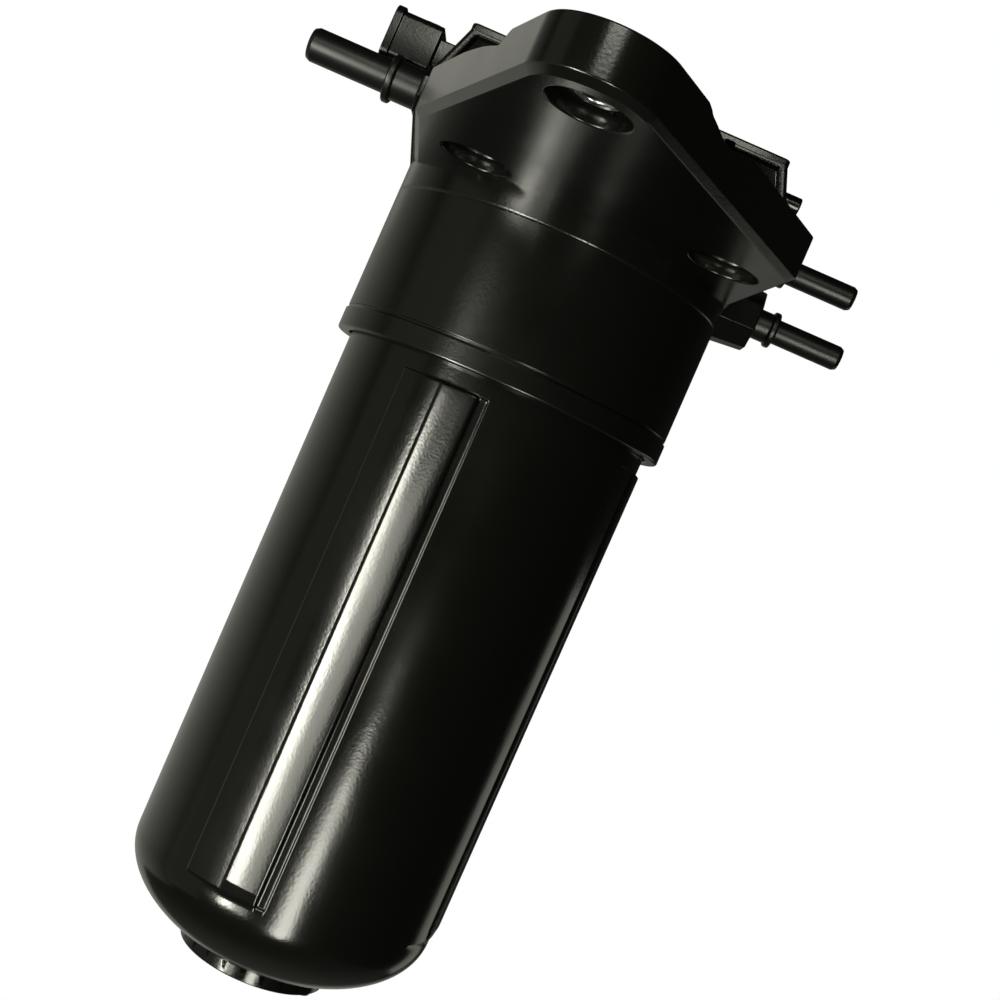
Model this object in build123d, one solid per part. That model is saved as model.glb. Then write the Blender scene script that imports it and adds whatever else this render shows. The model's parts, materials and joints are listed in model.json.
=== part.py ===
from build123d import *
import math
import os

# Electric fuel feed pump with a screw-on filter canister, in millimetres.
# The origin is on the mounting face of the flange, at the mean of the three bolt axes.
# +Z points up out of the mounting face, the flange reaches forward along -Y,
# and the canister hangs below the collar behind it.

# Clearances
SEAT = 0.05            # pieces pressed or bonded in their seats
RUN = 0.05             # shafts in their bushes, on the radius
FREE = 0.3             # pieces that turn or slide past each other
PAST = 1.0             # how far a cut runs past what it cuts, or a rib into its wall

# Canister axis
CAN_X = -3.5
CAN_Y = 75.0

# Mounting flange
FLANGE_T = 12.1
BOLT_REAR_SPAN = 64.5
BOLT_FRONT_RUN = 76.5          # front bolt to the line of the two rear bolts
BOLT_FRONT_X = -5.5
LOBE_R = 15.0
LEFT_CORNER = (-45.0, 9.0)
RIGHT_CORNER = (50.5, 12.0)
CORNER_R = 2.5
RECESS_R = 9.0
RECESS_DEPTH = 4.0
BOLT_BOSS_R = 11.0
SLEEVE_OUTER_R = 6.25
SLEEVE_BORE_R = 4.25
SLEEVE_PROUD = 1.0             # the sleeve's end stands this far into the recess
RIM_T = 3.0
RIB_T = 2.4
RIB_PITCH = 22.0
POCKET_DEPTH = 9.0
DIP_DEPTH = 2.0                # shallow dip in the top edge of the right wall
DIP_WIDTH = 15.0
DIP_ALONG = 0.4                # where along the right wall the dip lies, 0 at the lobe
LOW_EDGE = 1.6                 # bevel round the lower edge
RELIEF_W = 2.0                 # step in the mounting face along the foot of the chamber
RELIEF_DEPTH = 0.5

# Collar
COLLAR_GAP = 0.6               # between the collar and the canister's side
COLLAR_WALL = 3.0
COLLAR_H = 46.7
COLLAR_ROOF_T = 3.9
COLLAR_BAND_H = 5.8
COLLAR_BAND_PROUD = 0.35
COLLAR_GROOVE_W = 0.8
FILLET_H = 7.4                 # hollow blend between the collar and the flange
FILLET_W = 6.0
FILLET_STEP = 0.4

# Bayonet
BAYONETS = 3
LEDGE_UP = 9.8                 # top of the ledges above the collar's lower end
LEDGE_T = 3.5
LEDGE_REACH = 2.5
LEDGE_SPAN = 60.0
LUG_SPAN = 40.0
LUG_T = 3.7
CANISTER_TURN = 50.0
STOP_SPAN = 4.5
STOP_GAP = 1.5                 # angle between a lug's end and its stop
STOP_UP = 1.5                  # how far a stop stands above the lugs

# Pump chamber
CHAMBER_FRONT_Y = 66.0
CHAMBER_BACK_Y = 148.0
CHAMBER_LEFT_X = -49.5
CHAMBER_RIGHT_X = 43.6
CHAMBER_BULGE = 5.2            # how far the sides swell between two heights
BULGE_LOW_Z = 1.5
BULGE_HIGH_Z = 15.0
CHAMBER_TOP_Z = 28.6
CHAMBER_CORNER_R = 1.2
CHAMBER_WALL = 3.6
CHAMBER_FRONT_WALL = 4.6
CHAMBER_FLOOR_Z = -6.0
COVER_T = 2.2
PANEL_DEPTH = 1.8              # recessed panel in the front wall
PANEL_BORDER = 2.8
PANEL_TOP_BORDER = 1.2
PANEL_FOOT_Z = 3.0
SCREW_BOSS_R = 5.5
SCREW_INSET = 4.6
SCREW_R = 1.6
SCREW_HEAD_R = 3.4
SCREW_L = 12.0
SCREW_SLOT_W = 0.8             # and as deep as it is wide
SEAL_W = 1.4
SEAL_DEPTH = 1.2
SEAL_INSET = 0.8
BLEED_Y = 73.0                 # small round boss on the right wall
BLEED_Z = 21.8
BLEED_R = 2.5
BLEED_PROUD = 2.5              # beyond the widest line of the wall

# Head passages
SPIGOT_GAP = 1.4               # between the spigot and the canister's neck
SPIGOT_WALL = 3.0
SPIGOT_BASE_T = 2.0
SPIGOT_L = 28.0
SPIGOT_SEAL_UP = 4.0
SPIGOT_SEAL_W = 3.2
SPIGOT_SEAL_DEPTH = 1.6
NIPPLE_R = 8.5
NIPPLE_BORE_R = 5.5
NIPPLE_L = 44.0
INLET_DROP_X = -28.5           # where the inlet turns down into the canister
INLET_DROP_R = 4.0
DUCT_WALL = 2.5
DUCT_W = 13.0

# Quick-connect stems
INLET_R = 4.745
INLET_Y = 75.0
INLET_Z = 10.0
INLET_BOSS_X = -56.4
INLET_TIP_X = -89.2
INLET_BEAD_R = 6.8
INLET_BORE_R = 3.2
OUTLET_R = 3.945
OUTLET_Y = 134.0
OUTLET_Z = 0.0
OUTLET_BOSS_X = 59.5
OUTLET_TIP_X = 88.8
OUTLET_BEAD_R = 5.8
OUTLET_BORE_R = 2.5
OUTLET_BOSS_R = 11.8
RETURN_Z = 19.0
RETURN_BOSS_X = 56.0
RETURN_TIP_X = 85.3
RETURN_BOSS_R = 8.0
BEAD_T = 2.2
INLET_BEAD_FROM_TIP = 23.3
OUTLET_BEAD_FROM_TIP = 22.2
STEM_ROOT_GROW = 0.9           # root of a stem beyond its sealing radius
STEM_INSERT_L = 8.0
STEM_INSERT_WALL = 2.0
STEM_SEAL_IN = 3.5             # from the boss's face to the seal on a stem
STEM_SEAL_W = 2.0
STEM_SEAL_DEPTH = 1.0
STEM_TIP_L = 1.2
INLET_BOSS_R = 7.3             # to the corners of its eight sides

# Electrical connector
CONNECTOR_Y = 87.0
CONNECTOR_Z = 22.8
CONNECTOR_W = 19.0
CONNECTOR_H = 14.0
CONNECTOR_MOUTH_X = -72.0
CONNECTOR_FLOOR_X = -60.0
CONNECTOR_END_X = -57.8
CONNECTOR_ROOT_W = 15.0
CONNECTOR_ROOT_H = 8.0
CONNECTOR_WALL = 1.5
CONNECTOR_CORNER_R = 2.0
RIM_PROUD = 0.9
RIM_L = 2.4
LATCH_W = 6.0
LATCH_L = 9.6
LATCH_H = 1.6
TERMINAL_PITCH = 7.0
TERMINAL_W = 2.8
TERMINAL_T = 0.8
TERMINAL_IN = 2.4              # how far the blades reach into the chamber
TERMINAL_SUNK = 5.0            # from the connector's mouth to their tips
LEAD_R = 0.9

# Motor and pump, on one axis along X
MOTOR_Y = 100.0
MOTOR_CAN_R = 15.0
MOTOR_CAN_T = 1.2
MOTOR_CAN_X0 = -33.0
MOTOR_CAN_X1 = 20.0
MOTOR_END_X = -38.0
MAGNET_T = 2.5
MAGNET_SPAN = 140.0
CORE_X0 = -14.0
CORE_X1 = 10.0
AIR_GAP = 0.5
SLOTS = 8
SLOT_W = 2.4
SLOT_MOUTH = 1.2
END_TURN_L = 3.2
COMMUTATOR_R = 5.5
COMMUTATOR_X0 = -26.5
COMMUTATOR_X1 = -19.0
SHAFT_R = 1.6
SHAFT_X0 = -34.5
SHAFT_X1 = 30.0
BUSH_R = 3.5
BRUSH_W = 4.6
BRUSH_H = 3.6
BRUSH_L = 5.0
BRUSH_X = -23.0
HOLDER_X1 = -19.5
HOLDER_CAVITY_R = 7.0
BASE_PLATE_T = 5.0
PUMP_COVER_T = 9.0
IMPELLER_R = 13.0
IMPELLER_T = 3.7
IMPELLER_SIDE = 0.15
VANES = 24
VANE_DEPTH = 2.2
VANE_GAP = 1.3
ISOLATOR_T = 1.8
ISOLATOR_L = 6.0
ISOLATOR_XS = (-25.0, 13.0)
SADDLE_L = 5.0
SADDLE_HALF = 21.0             # half the width of the saddles on the floor
SADDLE_DROP = 3.0              # their top edge below the motor's axis
SADDLE_LID_HALF = 16.0         # the same for the saddles under the lid
SADDLE_LID_RISE = 8.0

# Check valve, on an axis along Y
VALVE_X = 28.5
VALVE_Z = 2.0
VALVE_BORE_R = 4.5
VALVE_BLOCK_R = 6.0
VALVE_MOUTH_Y = 117.0
VALVE_END_Y = 138.0
SEAT_Y = 122.5
SEAT_T = 2.5
SEAT_BORE_R = 2.2
POPPET_R = 3.4
POPPET_T = 1.6
POPPET_SKIRT_L = 3.6
NOZZLE_R = 3.0
NOZZLE_BORE_R = 2.0

# Filter canister
CANISTER_R_TOP = 43.3
CANISTER_R_FOOT = 42.5
CANISTER_L = 147.7             # the side wall, from its shoulder to the dome
SHOULDER_UP = 4.8              # the shoulder above the collar's lower end
NECK_STEP = 2.4                # the neck inside the side wall
NECK_L = 24.0
CANISTER_NECK_WALL = 2.0
CANISTER_WALL = 2.8
DOME_H = 23.2
DRAIN_RING_R = 20.8
DRAIN_RING_WALL = 1.5
DRAIN_RING_OUT = 0.3           # how far the ring stands below the dome
DRAIN_SUNK = 4.2               # the drain's floor inside the ring
DRAIN_BORE_R = 5.3
STRIP_TOP_GAP = 4.7            # from the collar's lower end to the strips
STRIP_FOOT_GAP = 2.2           # from the strips to the dome
STRIP_CHAMFER = 3.5
STRIP_REPEATS = 4
RAISED_FROM = -16.8            # azimuths from the front, positive to the right
RAISED_TO = -3.7
RAISED_H = 1.0
PANEL_FROM = -31.5
PANEL_H = 0.3
GUTTER_TO = -0.3
GUTTER_DEPTH = 0.6

# Drain tap
TAP_R = 18.9
TAP_T = 3.0
TAP_STEM_R = 4.7
TAP_BARB_R = 5.8
TAP_GRIP_W = 4.0
TAP_RIM_T = 2.0
TAP_DISH = 1.8
TAP_BORE_R = 1.6
TAP_SEAL_UP = 0.6
TAP_SEAL_W = 1.6
TAP_SEAL_DEPTH = 1.0
TAP_BARB_L = 1.7
SPOUT_AT_R = 15.2
SPOUT_R = 3.4
SPOUT_OUT = 3.6                # how far the spout stands below the drain ring
SPOUT_SLIT = 1.1

# Filter element
ELEMENT_GRIP = 8.0             # how far the nipple reaches into the element
ELEMENT_PAST_EDGE = 3.3        # how far the element reaches into the dome
ELEMENT_COLLAR_R = 13.5
ELEMENT_COLLAR_H = 4.5
ELEMENT_SEAL_T = 2.0
ELEMENT_SEAL_H = 3.0
CAP_T = 3.0
CAP_LIP_T = 1.0
CAP_LIP_L = 2.0
CORE_R = 12.0
CORE_WALL = 1.6
PLEATS = 32
PLEAT_OUTER_R = 33.0
PLEAT_INNER_R = 15.6
PLEAT_SHEET = 2.0
FOOT_AT_R = 15.0
FOOT_R = 2.5

BASE = (Align.CENTER, Align.CENTER, Align.MIN)
REAR_Y = BOLT_FRONT_RUN / 3.0
REAR_MID_X = -BOLT_FRONT_X / 2.0
FRONT_BOLT = (BOLT_FRONT_X, REAR_Y - BOLT_FRONT_RUN)
REAR_LEFT_BOLT = (REAR_MID_X - BOLT_REAR_SPAN / 2.0, REAR_Y)
REAR_RIGHT_BOLT = (REAR_MID_X + BOLT_REAR_SPAN / 2.0, REAR_Y)
BOLTS = (FRONT_BOLT, REAR_LEFT_BOLT, REAR_RIGHT_BOLT)
CANISTER_AXIS = Pos(CAN_X, CAN_Y, 0)
COLLAR_R = CANISTER_R_TOP + COLLAR_GAP + COLLAR_WALL
COLLAR_ROOF_Z = -FLANGE_T - COLLAR_ROOF_T
COLLAR_BOTTOM_Z = -FLANGE_T - COLLAR_H
LEDGE_TOP_Z = COLLAR_BOTTOM_Z + LEDGE_UP
CANISTER_NECK_R = CANISTER_R_TOP - NECK_STEP
CANISTER_SHOULDER_Z = COLLAR_BOTTOM_Z + SHOULDER_UP
CANISTER_TOP_Z = CANISTER_SHOULDER_Z + NECK_L
CANISTER_EDGE_Z = CANISTER_SHOULDER_Z - CANISTER_L
STRIP_TOP_Z = COLLAR_BOTTOM_Z - STRIP_TOP_GAP
STRIP_FOOT_Z = CANISTER_EDGE_Z + STRIP_FOOT_GAP
DRAIN_RING_Z = CANISTER_EDGE_Z - DOME_H - DRAIN_RING_OUT
DRAIN_FLOOR_Z = DRAIN_RING_Z + DRAIN_SUNK
SPOUT_BOTTOM_Z = DRAIN_RING_Z - SPOUT_OUT
SPIGOT_R = CANISTER_NECK_R - CANISTER_NECK_WALL - SPIGOT_GAP
SPIGOT_BOTTOM_Z = COLLAR_ROOF_Z - SPIGOT_L
SPIGOT_SEAL_Z = SPIGOT_BOTTOM_Z + SPIGOT_SEAL_UP
NIPPLE_BOTTOM_Z = COLLAR_ROOF_Z - NIPPLE_L
ELEMENT_TOP_Z = NIPPLE_BOTTOM_Z + ELEMENT_GRIP
ELEMENT_BOTTOM_Z = CANISTER_EDGE_Z - ELEMENT_PAST_EDGE
ELEMENT_R = PLEAT_OUTER_R + CAP_LIP_T
MOTOR_Z = (CHAMBER_FLOOR_Z + CHAMBER_TOP_Z) / 2
MOTOR_AXIS = Pos(0, MOTOR_Y, MOTOR_Z) * Rot(0, 90, 0)
VALVE_AXIS = Pos(VALVE_X, 0, VALVE_Z) * Rot(-90, 0, 0)
CAVITY_LEFT_X = CHAMBER_LEFT_X + CHAMBER_WALL
CAVITY_RIGHT_X = CHAMBER_RIGHT_X - CHAMBER_WALL
CAVITY_FRONT_Y = CHAMBER_FRONT_Y + CHAMBER_FRONT_WALL
CAVITY_BACK_Y = CHAMBER_BACK_Y - CHAMBER_WALL
CANISTER_INNER_R_TOP = CANISTER_R_TOP - CANISTER_WALL
CANISTER_INNER_R_FOOT = CANISTER_R_FOOT - CANISTER_WALL
MOTOR_BORE_R = MOTOR_CAN_R - MOTOR_CAN_T
ISOLATOR_R = MOTOR_CAN_R + ISOLATOR_T
CORE_RADIUS = MOTOR_BORE_R - MAGNET_T - AIR_GAP
POCKET_X1 = MOTOR_CAN_X1 + BASE_PLATE_T + IMPELLER_T + 2 * IMPELLER_SIDE
PUMP_END_X = MOTOR_CAN_X1 + BASE_PLATE_T + PUMP_COVER_T


def block(x0, x1, y0, y1, z0, z1):
    """A box between two corners."""
    return Pos((x0 + x1) / 2, (y0 + y1) / 2, (z0 + z1) / 2) * Box(x1 - x0, y1 - y0, z1 - z0)


def rod(radius, low, high):
    """A round bar on the local Z axis, from one height to the other."""
    return Pos(0, 0, low) * Cylinder(radius, high - low, align=BASE)


def ring(outer, inner, low, high):
    """A plain ring on the local Z axis."""
    return rod(outer, low, high) - rod(inner, low - PAST, high + PAST)


def turned(points, arc=360.0):
    """A profile of (radius, height) points turned about the local Z axis."""
    outline = Polyline(*[(r, h) for r, h in points], close=True)
    return revolve(Plane.XZ * make_face(outline), Axis.Z, arc)


def sector(points, start, span):
    """A turned profile that covers only the angles from start, for span degrees."""
    return Rot(0, 0, start) * turned(points, span)


def soft_ring(outer, inner, low, high):
    """A seal ring with its corners taken off, as it is when squeezed."""
    cut = 0.25 * min(outer - inner, high - low)
    return turned([
        (inner + cut, low), (outer - cut, low), (outer, low + cut), (outer, high - cut),
        (outer - cut, high), (inner + cut, high), (inner, high - cut), (inner, low + cut),
    ])


def coil(mean_r, wire_r, low, high, turns):
    """A compression spring on the local Z axis, its wire inside the two heights."""
    length = high - low - 2 * wire_r
    path = Pos(0, 0, low + wire_r) * Helix(length / turns, length, mean_r)
    start = Plane(path @ 0, z_dir=path % 0)
    return sweep(start * RegularPolygon(wire_r, 6), path, is_frenet=True)


def front_angle(azimuth):
    """The angle about +Z of a direction given as degrees to the right of the front."""
    return azimuth - 90.0


def tangent_point(corner, centre, radius, side):
    """Where the line from a corner touches a circle; side is 1 or -1."""
    dx, dy = corner[0] - centre[0], corner[1] - centre[1]
    away = math.hypot(dx, dy)
    turn = math.atan2(dy, dx) + side * math.acos(radius / away)
    return (centre[0] + radius * math.cos(turn), centre[1] + radius * math.sin(turn))


def flange_outline():
    """The flange seen from above, running back under the pump chamber."""
    left_touch = tangent_point(LEFT_CORNER, FRONT_BOLT, LOBE_R, 1)
    right_touch = tangent_point(RIGHT_CORNER, FRONT_BOLT, LOBE_R, -1)
    body = make_face(Polyline(
        (CHAMBER_LEFT_X, CAN_Y), LEFT_CORNER, left_touch, FRONT_BOLT, right_touch, RIGHT_CORNER,
        (CHAMBER_RIGHT_X, CAN_Y), close=True))
    whole = body + Pos(*FRONT_BOLT) * Circle(LOBE_R)
    corners = [v for v in whole.vertices() if min(
        math.dist((v.X, v.Y), LEFT_CORNER), math.dist((v.X, v.Y), RIGHT_CORNER)) < 0.01]
    return fillet(corners, CORNER_R)


def chamber_section():
    """The chamber's outline seen from the front, its sides swelling between two heights."""
    left, right = CHAMBER_LEFT_X - CHAMBER_BULGE, CHAMBER_RIGHT_X + CHAMBER_BULGE
    return make_face(Polyline(
        (CHAMBER_LEFT_X, -FLANGE_T), (CHAMBER_RIGHT_X, -FLANGE_T), (right, BULGE_LOW_Z), (right, BULGE_HIGH_Z),
        (CHAMBER_RIGHT_X, CHAMBER_TOP_Z), (CHAMBER_LEFT_X, CHAMBER_TOP_Z), (left, BULGE_HIGH_Z),
        (left, BULGE_LOW_Z), close=True))


def screw_places():
    """The cover's six screws: four corners and the middles of the front and back."""
    xs = (CHAMBER_LEFT_X + SCREW_INSET, CAN_X, CHAMBER_RIGHT_X - SCREW_INSET)
    ys = (CHAMBER_FRONT_Y + SCREW_INSET, CHAMBER_BACK_Y - SCREW_INSET)
    return [(x, y) for x in xs for y in ys]


def cavity_outline():
    """The inside of the chamber seen from above, going round the screw bosses."""
    room = Pos((CAVITY_LEFT_X + CAVITY_RIGHT_X) / 2, (CAVITY_FRONT_Y + CAVITY_BACK_Y) / 2) * Rectangle(
        CAVITY_RIGHT_X - CAVITY_LEFT_X, CAVITY_BACK_Y - CAVITY_FRONT_Y)
    for x, y in screw_places():
        room -= Pos(x, y) * Circle(SCREW_BOSS_R)
    return room


def chamber_walls():
    """The chamber's outer form, solid, with its recessed front panel."""
    section = chamber_section()
    body = extrude(Plane.XZ * section, CHAMBER_BACK_Y - CHAMBER_FRONT_Y)
    body = Pos(0, CHAMBER_BACK_Y, 0) * body
    uprights = [e for e in body.edges() if abs((e % 0.5).Y) < 0.01 and abs((e % 0.5).Z) > 0.5]
    body = fillet(uprights, CHAMBER_CORNER_R)
    band = Pos(0, PANEL_FOOT_Z) * Rectangle(
        4 * CHAMBER_BACK_Y, CHAMBER_TOP_Z - PANEL_TOP_BORDER - PANEL_FOOT_Z, align=(Align.CENTER, Align.MIN))
    panel = Pos(0, PANEL_BORDER - PANEL_TOP_BORDER) * offset(section, -PANEL_BORDER) & band
    recess = Pos(0, CHAMBER_FRONT_Y + PANEL_DEPTH, 0) * extrude(Plane.XZ * panel, 2 * PANEL_DEPTH)
    return body - recess


def mounting_flange():
    """The flange: ribbed top, bolt bosses over sunk seats, and the dip in its right wall."""
    reach = 4 * BOLT_FRONT_RUN
    ahead = Pos(0, CHAMBER_FRONT_Y) * Rectangle(reach, reach, align=(Align.CENTER, Align.MAX))
    outline = flange_outline()
    plate = extrude(outline, -FLANGE_T)
    plate = chamfer(plate.edges().group_by(Axis.Z)[0], LOW_EDGE) & extrude(ahead, -FLANGE_T)
    keep = Pos(*FRONT_BOLT) * Circle(BOLT_BOSS_R)
    for place in (REAR_LEFT_BOLT, REAR_RIGHT_BOLT):
        keep += Pos(*place) * Circle(BOLT_BOSS_R)
    for i in range(-3, 4):
        keep += Pos(i * RIB_PITCH, 0) * Rectangle(RIB_T, reach)
        keep += Pos(0, i * RIB_PITCH) * Rectangle(reach, RIB_T)
    pockets = (offset(outline, -RIM_T) & Pos(0, -RIM_T) * ahead) - keep
    plate -= extrude(pockets, -POCKET_DEPTH)
    for x, y in BOLTS:
        plate -= Pos(x, y, 0) * rod(RECESS_R, -FLANGE_T - PAST, RECESS_DEPTH - FLANGE_T)
        plate -= Pos(x, y, 0) * rod(SLEEVE_OUTER_R + SEAT, -FLANGE_T, PAST)
    plate -= block(-reach, reach, CHAMBER_FRONT_Y - RELIEF_W, CHAMBER_FRONT_Y + PAST, -RELIEF_DEPTH, PAST)

    start = tangent_point(RIGHT_CORNER, FRONT_BOLT, LOBE_R, -1)
    run = (RIGHT_CORNER[0] - start[0], RIGHT_CORNER[1] - start[1])
    at = (start[0] + DIP_ALONG * run[0], start[1] + DIP_ALONG * run[1])
    dip_r = (DIP_WIDTH ** 2 / 4 + DIP_DEPTH ** 2) / (2 * DIP_DEPTH)
    across = Plane(origin=(at[0], at[1], dip_r - DIP_DEPTH), z_dir=(run[1], -run[0], 0))
    return plate - across.location * Cylinder(dip_r, 2 * RIM_T)


def collar_form():
    """The collar's outer form with its grooved rim, and the hollow blend under the flange."""
    band = COLLAR_R + COLLAR_BAND_PROUD
    groove_z = COLLAR_BOTTOM_Z + COLLAR_BAND_H
    body = turned([
        (0, -FLANGE_T), (0, COLLAR_BOTTOM_Z), (band, COLLAR_BOTTOM_Z), (band, groove_z),
        (COLLAR_R - COLLAR_BAND_PROUD, groove_z + COLLAR_GROOVE_W / 2), (COLLAR_R, groove_z + COLLAR_GROOVE_W),
        (COLLAR_R, -FLANGE_T)])
    inner = COLLAR_R + FILLET_STEP
    foot = -FLANGE_T - FILLET_H
    curve = ThreePointArc(
        (inner, foot), (inner + 0.3 * FILLET_W, foot + 0.7 * FILLET_H), (inner + FILLET_W, -FLANGE_T))
    edge = Polyline(
        (inner + FILLET_W, -FLANGE_T), (COLLAR_R - PAST, -FLANGE_T), (COLLAR_R - PAST, foot), (inner, foot))
    blend = revolve(Plane.XZ * make_face(curve + edge), Axis.Z)
    under = extrude(offset(flange_outline(), -LOW_EDGE), -FLANGE_T - FILLET_H)
    return CANISTER_AXIS * body + (CANISTER_AXIS * blend & under)


def bayonet_ledges():
    """Three ledges inside the collar that hold the canister's lugs, each with two stops."""
    outer = COLLAR_R - COLLAR_WALL / 2
    inner = COLLAR_R - COLLAR_WALL - LEDGE_REACH
    low = LEDGE_TOP_Z - LEDGE_T
    high = LEDGE_TOP_Z + LUG_T + STOP_UP
    shelf = [(inner, low), (outer, low), (outer, LEDGE_TOP_Z), (inner, LEDGE_TOP_Z)]
    stop = [(inner, low), (outer, low), (outer, high), (inner, high)]
    parts = []
    for i in range(BAYONETS):
        middle = i * 360.0 / BAYONETS
        parts.append(sector(shelf, middle - LEDGE_SPAN / 2, LEDGE_SPAN))
        parts.append(sector(stop, middle + LUG_SPAN / 2 + STOP_GAP, STOP_SPAN))
        parts.append(sector(stop, middle - LUG_SPAN / 2 - STOP_GAP - CANISTER_TURN - STOP_SPAN, STOP_SPAN))
    return [CANISTER_AXIS * p for p in parts]


def filter_collar():
    """The collar under the flange, with its blend, its roof and the bayonet's ledges."""
    collar = collar_form()
    for x, y in BOLTS:
        collar -= Pos(x, y, 0) * rod(RECESS_R, -FLANGE_T - FILLET_H, RECESS_DEPTH - FLANGE_T)
    collar -= CANISTER_AXIS * rod(COLLAR_R - COLLAR_WALL, COLLAR_BOTTOM_Z - PAST, COLLAR_ROOF_Z)
    for ledge in bayonet_ledges():
        collar += ledge
    return collar - down_ways()


def filter_spigot():
    """The spigot in the canister's neck and the nipple in the element, on one base."""
    foot = COLLAR_ROOF_Z - SPIGOT_BASE_T
    groove_r = SPIGOT_R - SPIGOT_SEAL_DEPTH
    spigot = CANISTER_AXIS * turned([
        (0, COLLAR_ROOF_Z), (SPIGOT_R, COLLAR_ROOF_Z), (SPIGOT_R, SPIGOT_SEAL_Z + SPIGOT_SEAL_W),
        (groove_r, SPIGOT_SEAL_Z + SPIGOT_SEAL_W), (groove_r, SPIGOT_SEAL_Z), (SPIGOT_R, SPIGOT_SEAL_Z),
        (SPIGOT_R, SPIGOT_BOTTOM_Z), (SPIGOT_R - SPIGOT_WALL, SPIGOT_BOTTOM_Z), (SPIGOT_R - SPIGOT_WALL, foot),
        (NIPPLE_R, foot), (NIPPLE_R, NIPPLE_BOTTOM_Z), (0, NIPPLE_BOTTOM_Z)])
    return spigot - down_ways()


def down_ways():
    """The two ways between the chamber and the canister: the inlet's drop and the nipple's bore."""
    drop = Pos(INLET_DROP_X, INLET_Y, 0) * rod(INLET_DROP_R, COLLAR_ROOF_Z - SPIGOT_BASE_T - PAST, INLET_Z)
    rise = CANISTER_AXIS * rod(NIPPLE_BORE_R, NIPPLE_BOTTOM_Z - PAST, CHAMBER_FLOOR_Z + PAST)
    return drop + rise


def pump_chamber():
    """The pump's housing: walls, bosses for the stems, duct, valve block and motor saddles."""
    housing = chamber_walls() + outlet_bosses()
    housing -= extrude(Pos(0, 0, CHAMBER_FLOOR_Z) * cavity_outline(), CHAMBER_TOP_Z - CHAMBER_FLOOR_Z + PAST)
    housing += inner_blocks()
    housing -= head_passages()
    for x, y in screw_places():
        housing -= Pos(x, y, 0) * rod(
            SCREW_R + SEAT, CHAMBER_TOP_Z + COVER_T - SCREW_L - PAST, CHAMBER_TOP_Z + PAST)
    groove = offset(cavity_outline(), SEAL_INSET + SEAL_W + SEAT) - offset(cavity_outline(), SEAL_INSET - SEAT)
    return housing - extrude(Pos(0, 0, CHAMBER_TOP_Z) * groove, -SEAL_DEPTH - SEAT)


def outlet_bosses():
    """The bosses on the chamber's sides: two eight-sided, a round one, and the small blind one."""
    eight = extrude(RegularPolygon(OUTLET_BOSS_R, 8, rotation=22.5), OUTLET_BOSS_X - CAVITY_RIGHT_X, taper=5)
    small = extrude(RegularPolygon(INLET_BOSS_R, 8, rotation=22.5), CAVITY_LEFT_X - INLET_BOSS_X)
    outlet = Pos(CAVITY_RIGHT_X, OUTLET_Y, OUTLET_Z) * Rot(0, 90, 0) * eight
    back = Pos(CAVITY_RIGHT_X, OUTLET_Y, RETURN_Z) * Rot(0, 90, 0) * rod(
        RETURN_BOSS_R, 0, RETURN_BOSS_X - CAVITY_RIGHT_X)
    inlet = Pos(CAVITY_LEFT_X, INLET_Y, INLET_Z) * Rot(0, -90, 0) * small
    blind = Pos(CHAMBER_RIGHT_X, BLEED_Y, BLEED_Z) * Rot(0, 90, 0) * rod(
        BLEED_R, -PAST, CHAMBER_BULGE + BLEED_PROUD)
    return outlet + back + inlet + blind


def inner_blocks():
    """What stands on the chamber's floor: inlet duct, valve block and motor saddles."""
    duct = block(CAVITY_LEFT_X - PAST, INLET_DROP_X + INLET_DROP_R + DUCT_WALL, INLET_Y - DUCT_W / 2,
                 INLET_Y + DUCT_W / 2, CHAMBER_FLOOR_Z - PAST, INLET_Z + INLET_BORE_R + DUCT_WALL)
    valve = block(VALVE_X - VALVE_BLOCK_R, CAVITY_RIGHT_X + PAST, VALVE_MOUTH_Y, CAVITY_BACK_Y + PAST,
                  CHAMBER_FLOOR_Z - PAST, VALVE_Z + VALVE_BLOCK_R)
    blocks = duct + valve
    for x in ISOLATOR_XS:
        saddle = block(x - SADDLE_L / 2, x + SADDLE_L / 2, MOTOR_Y - SADDLE_HALF, MOTOR_Y + SADDLE_HALF,
                       CHAMBER_FLOOR_Z - PAST, MOTOR_Z - SADDLE_DROP)
        blocks += saddle - MOTOR_AXIS * rod(ISOLATOR_R + SEAT, x - SADDLE_L, x + SADDLE_L)
    return blocks


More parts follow.
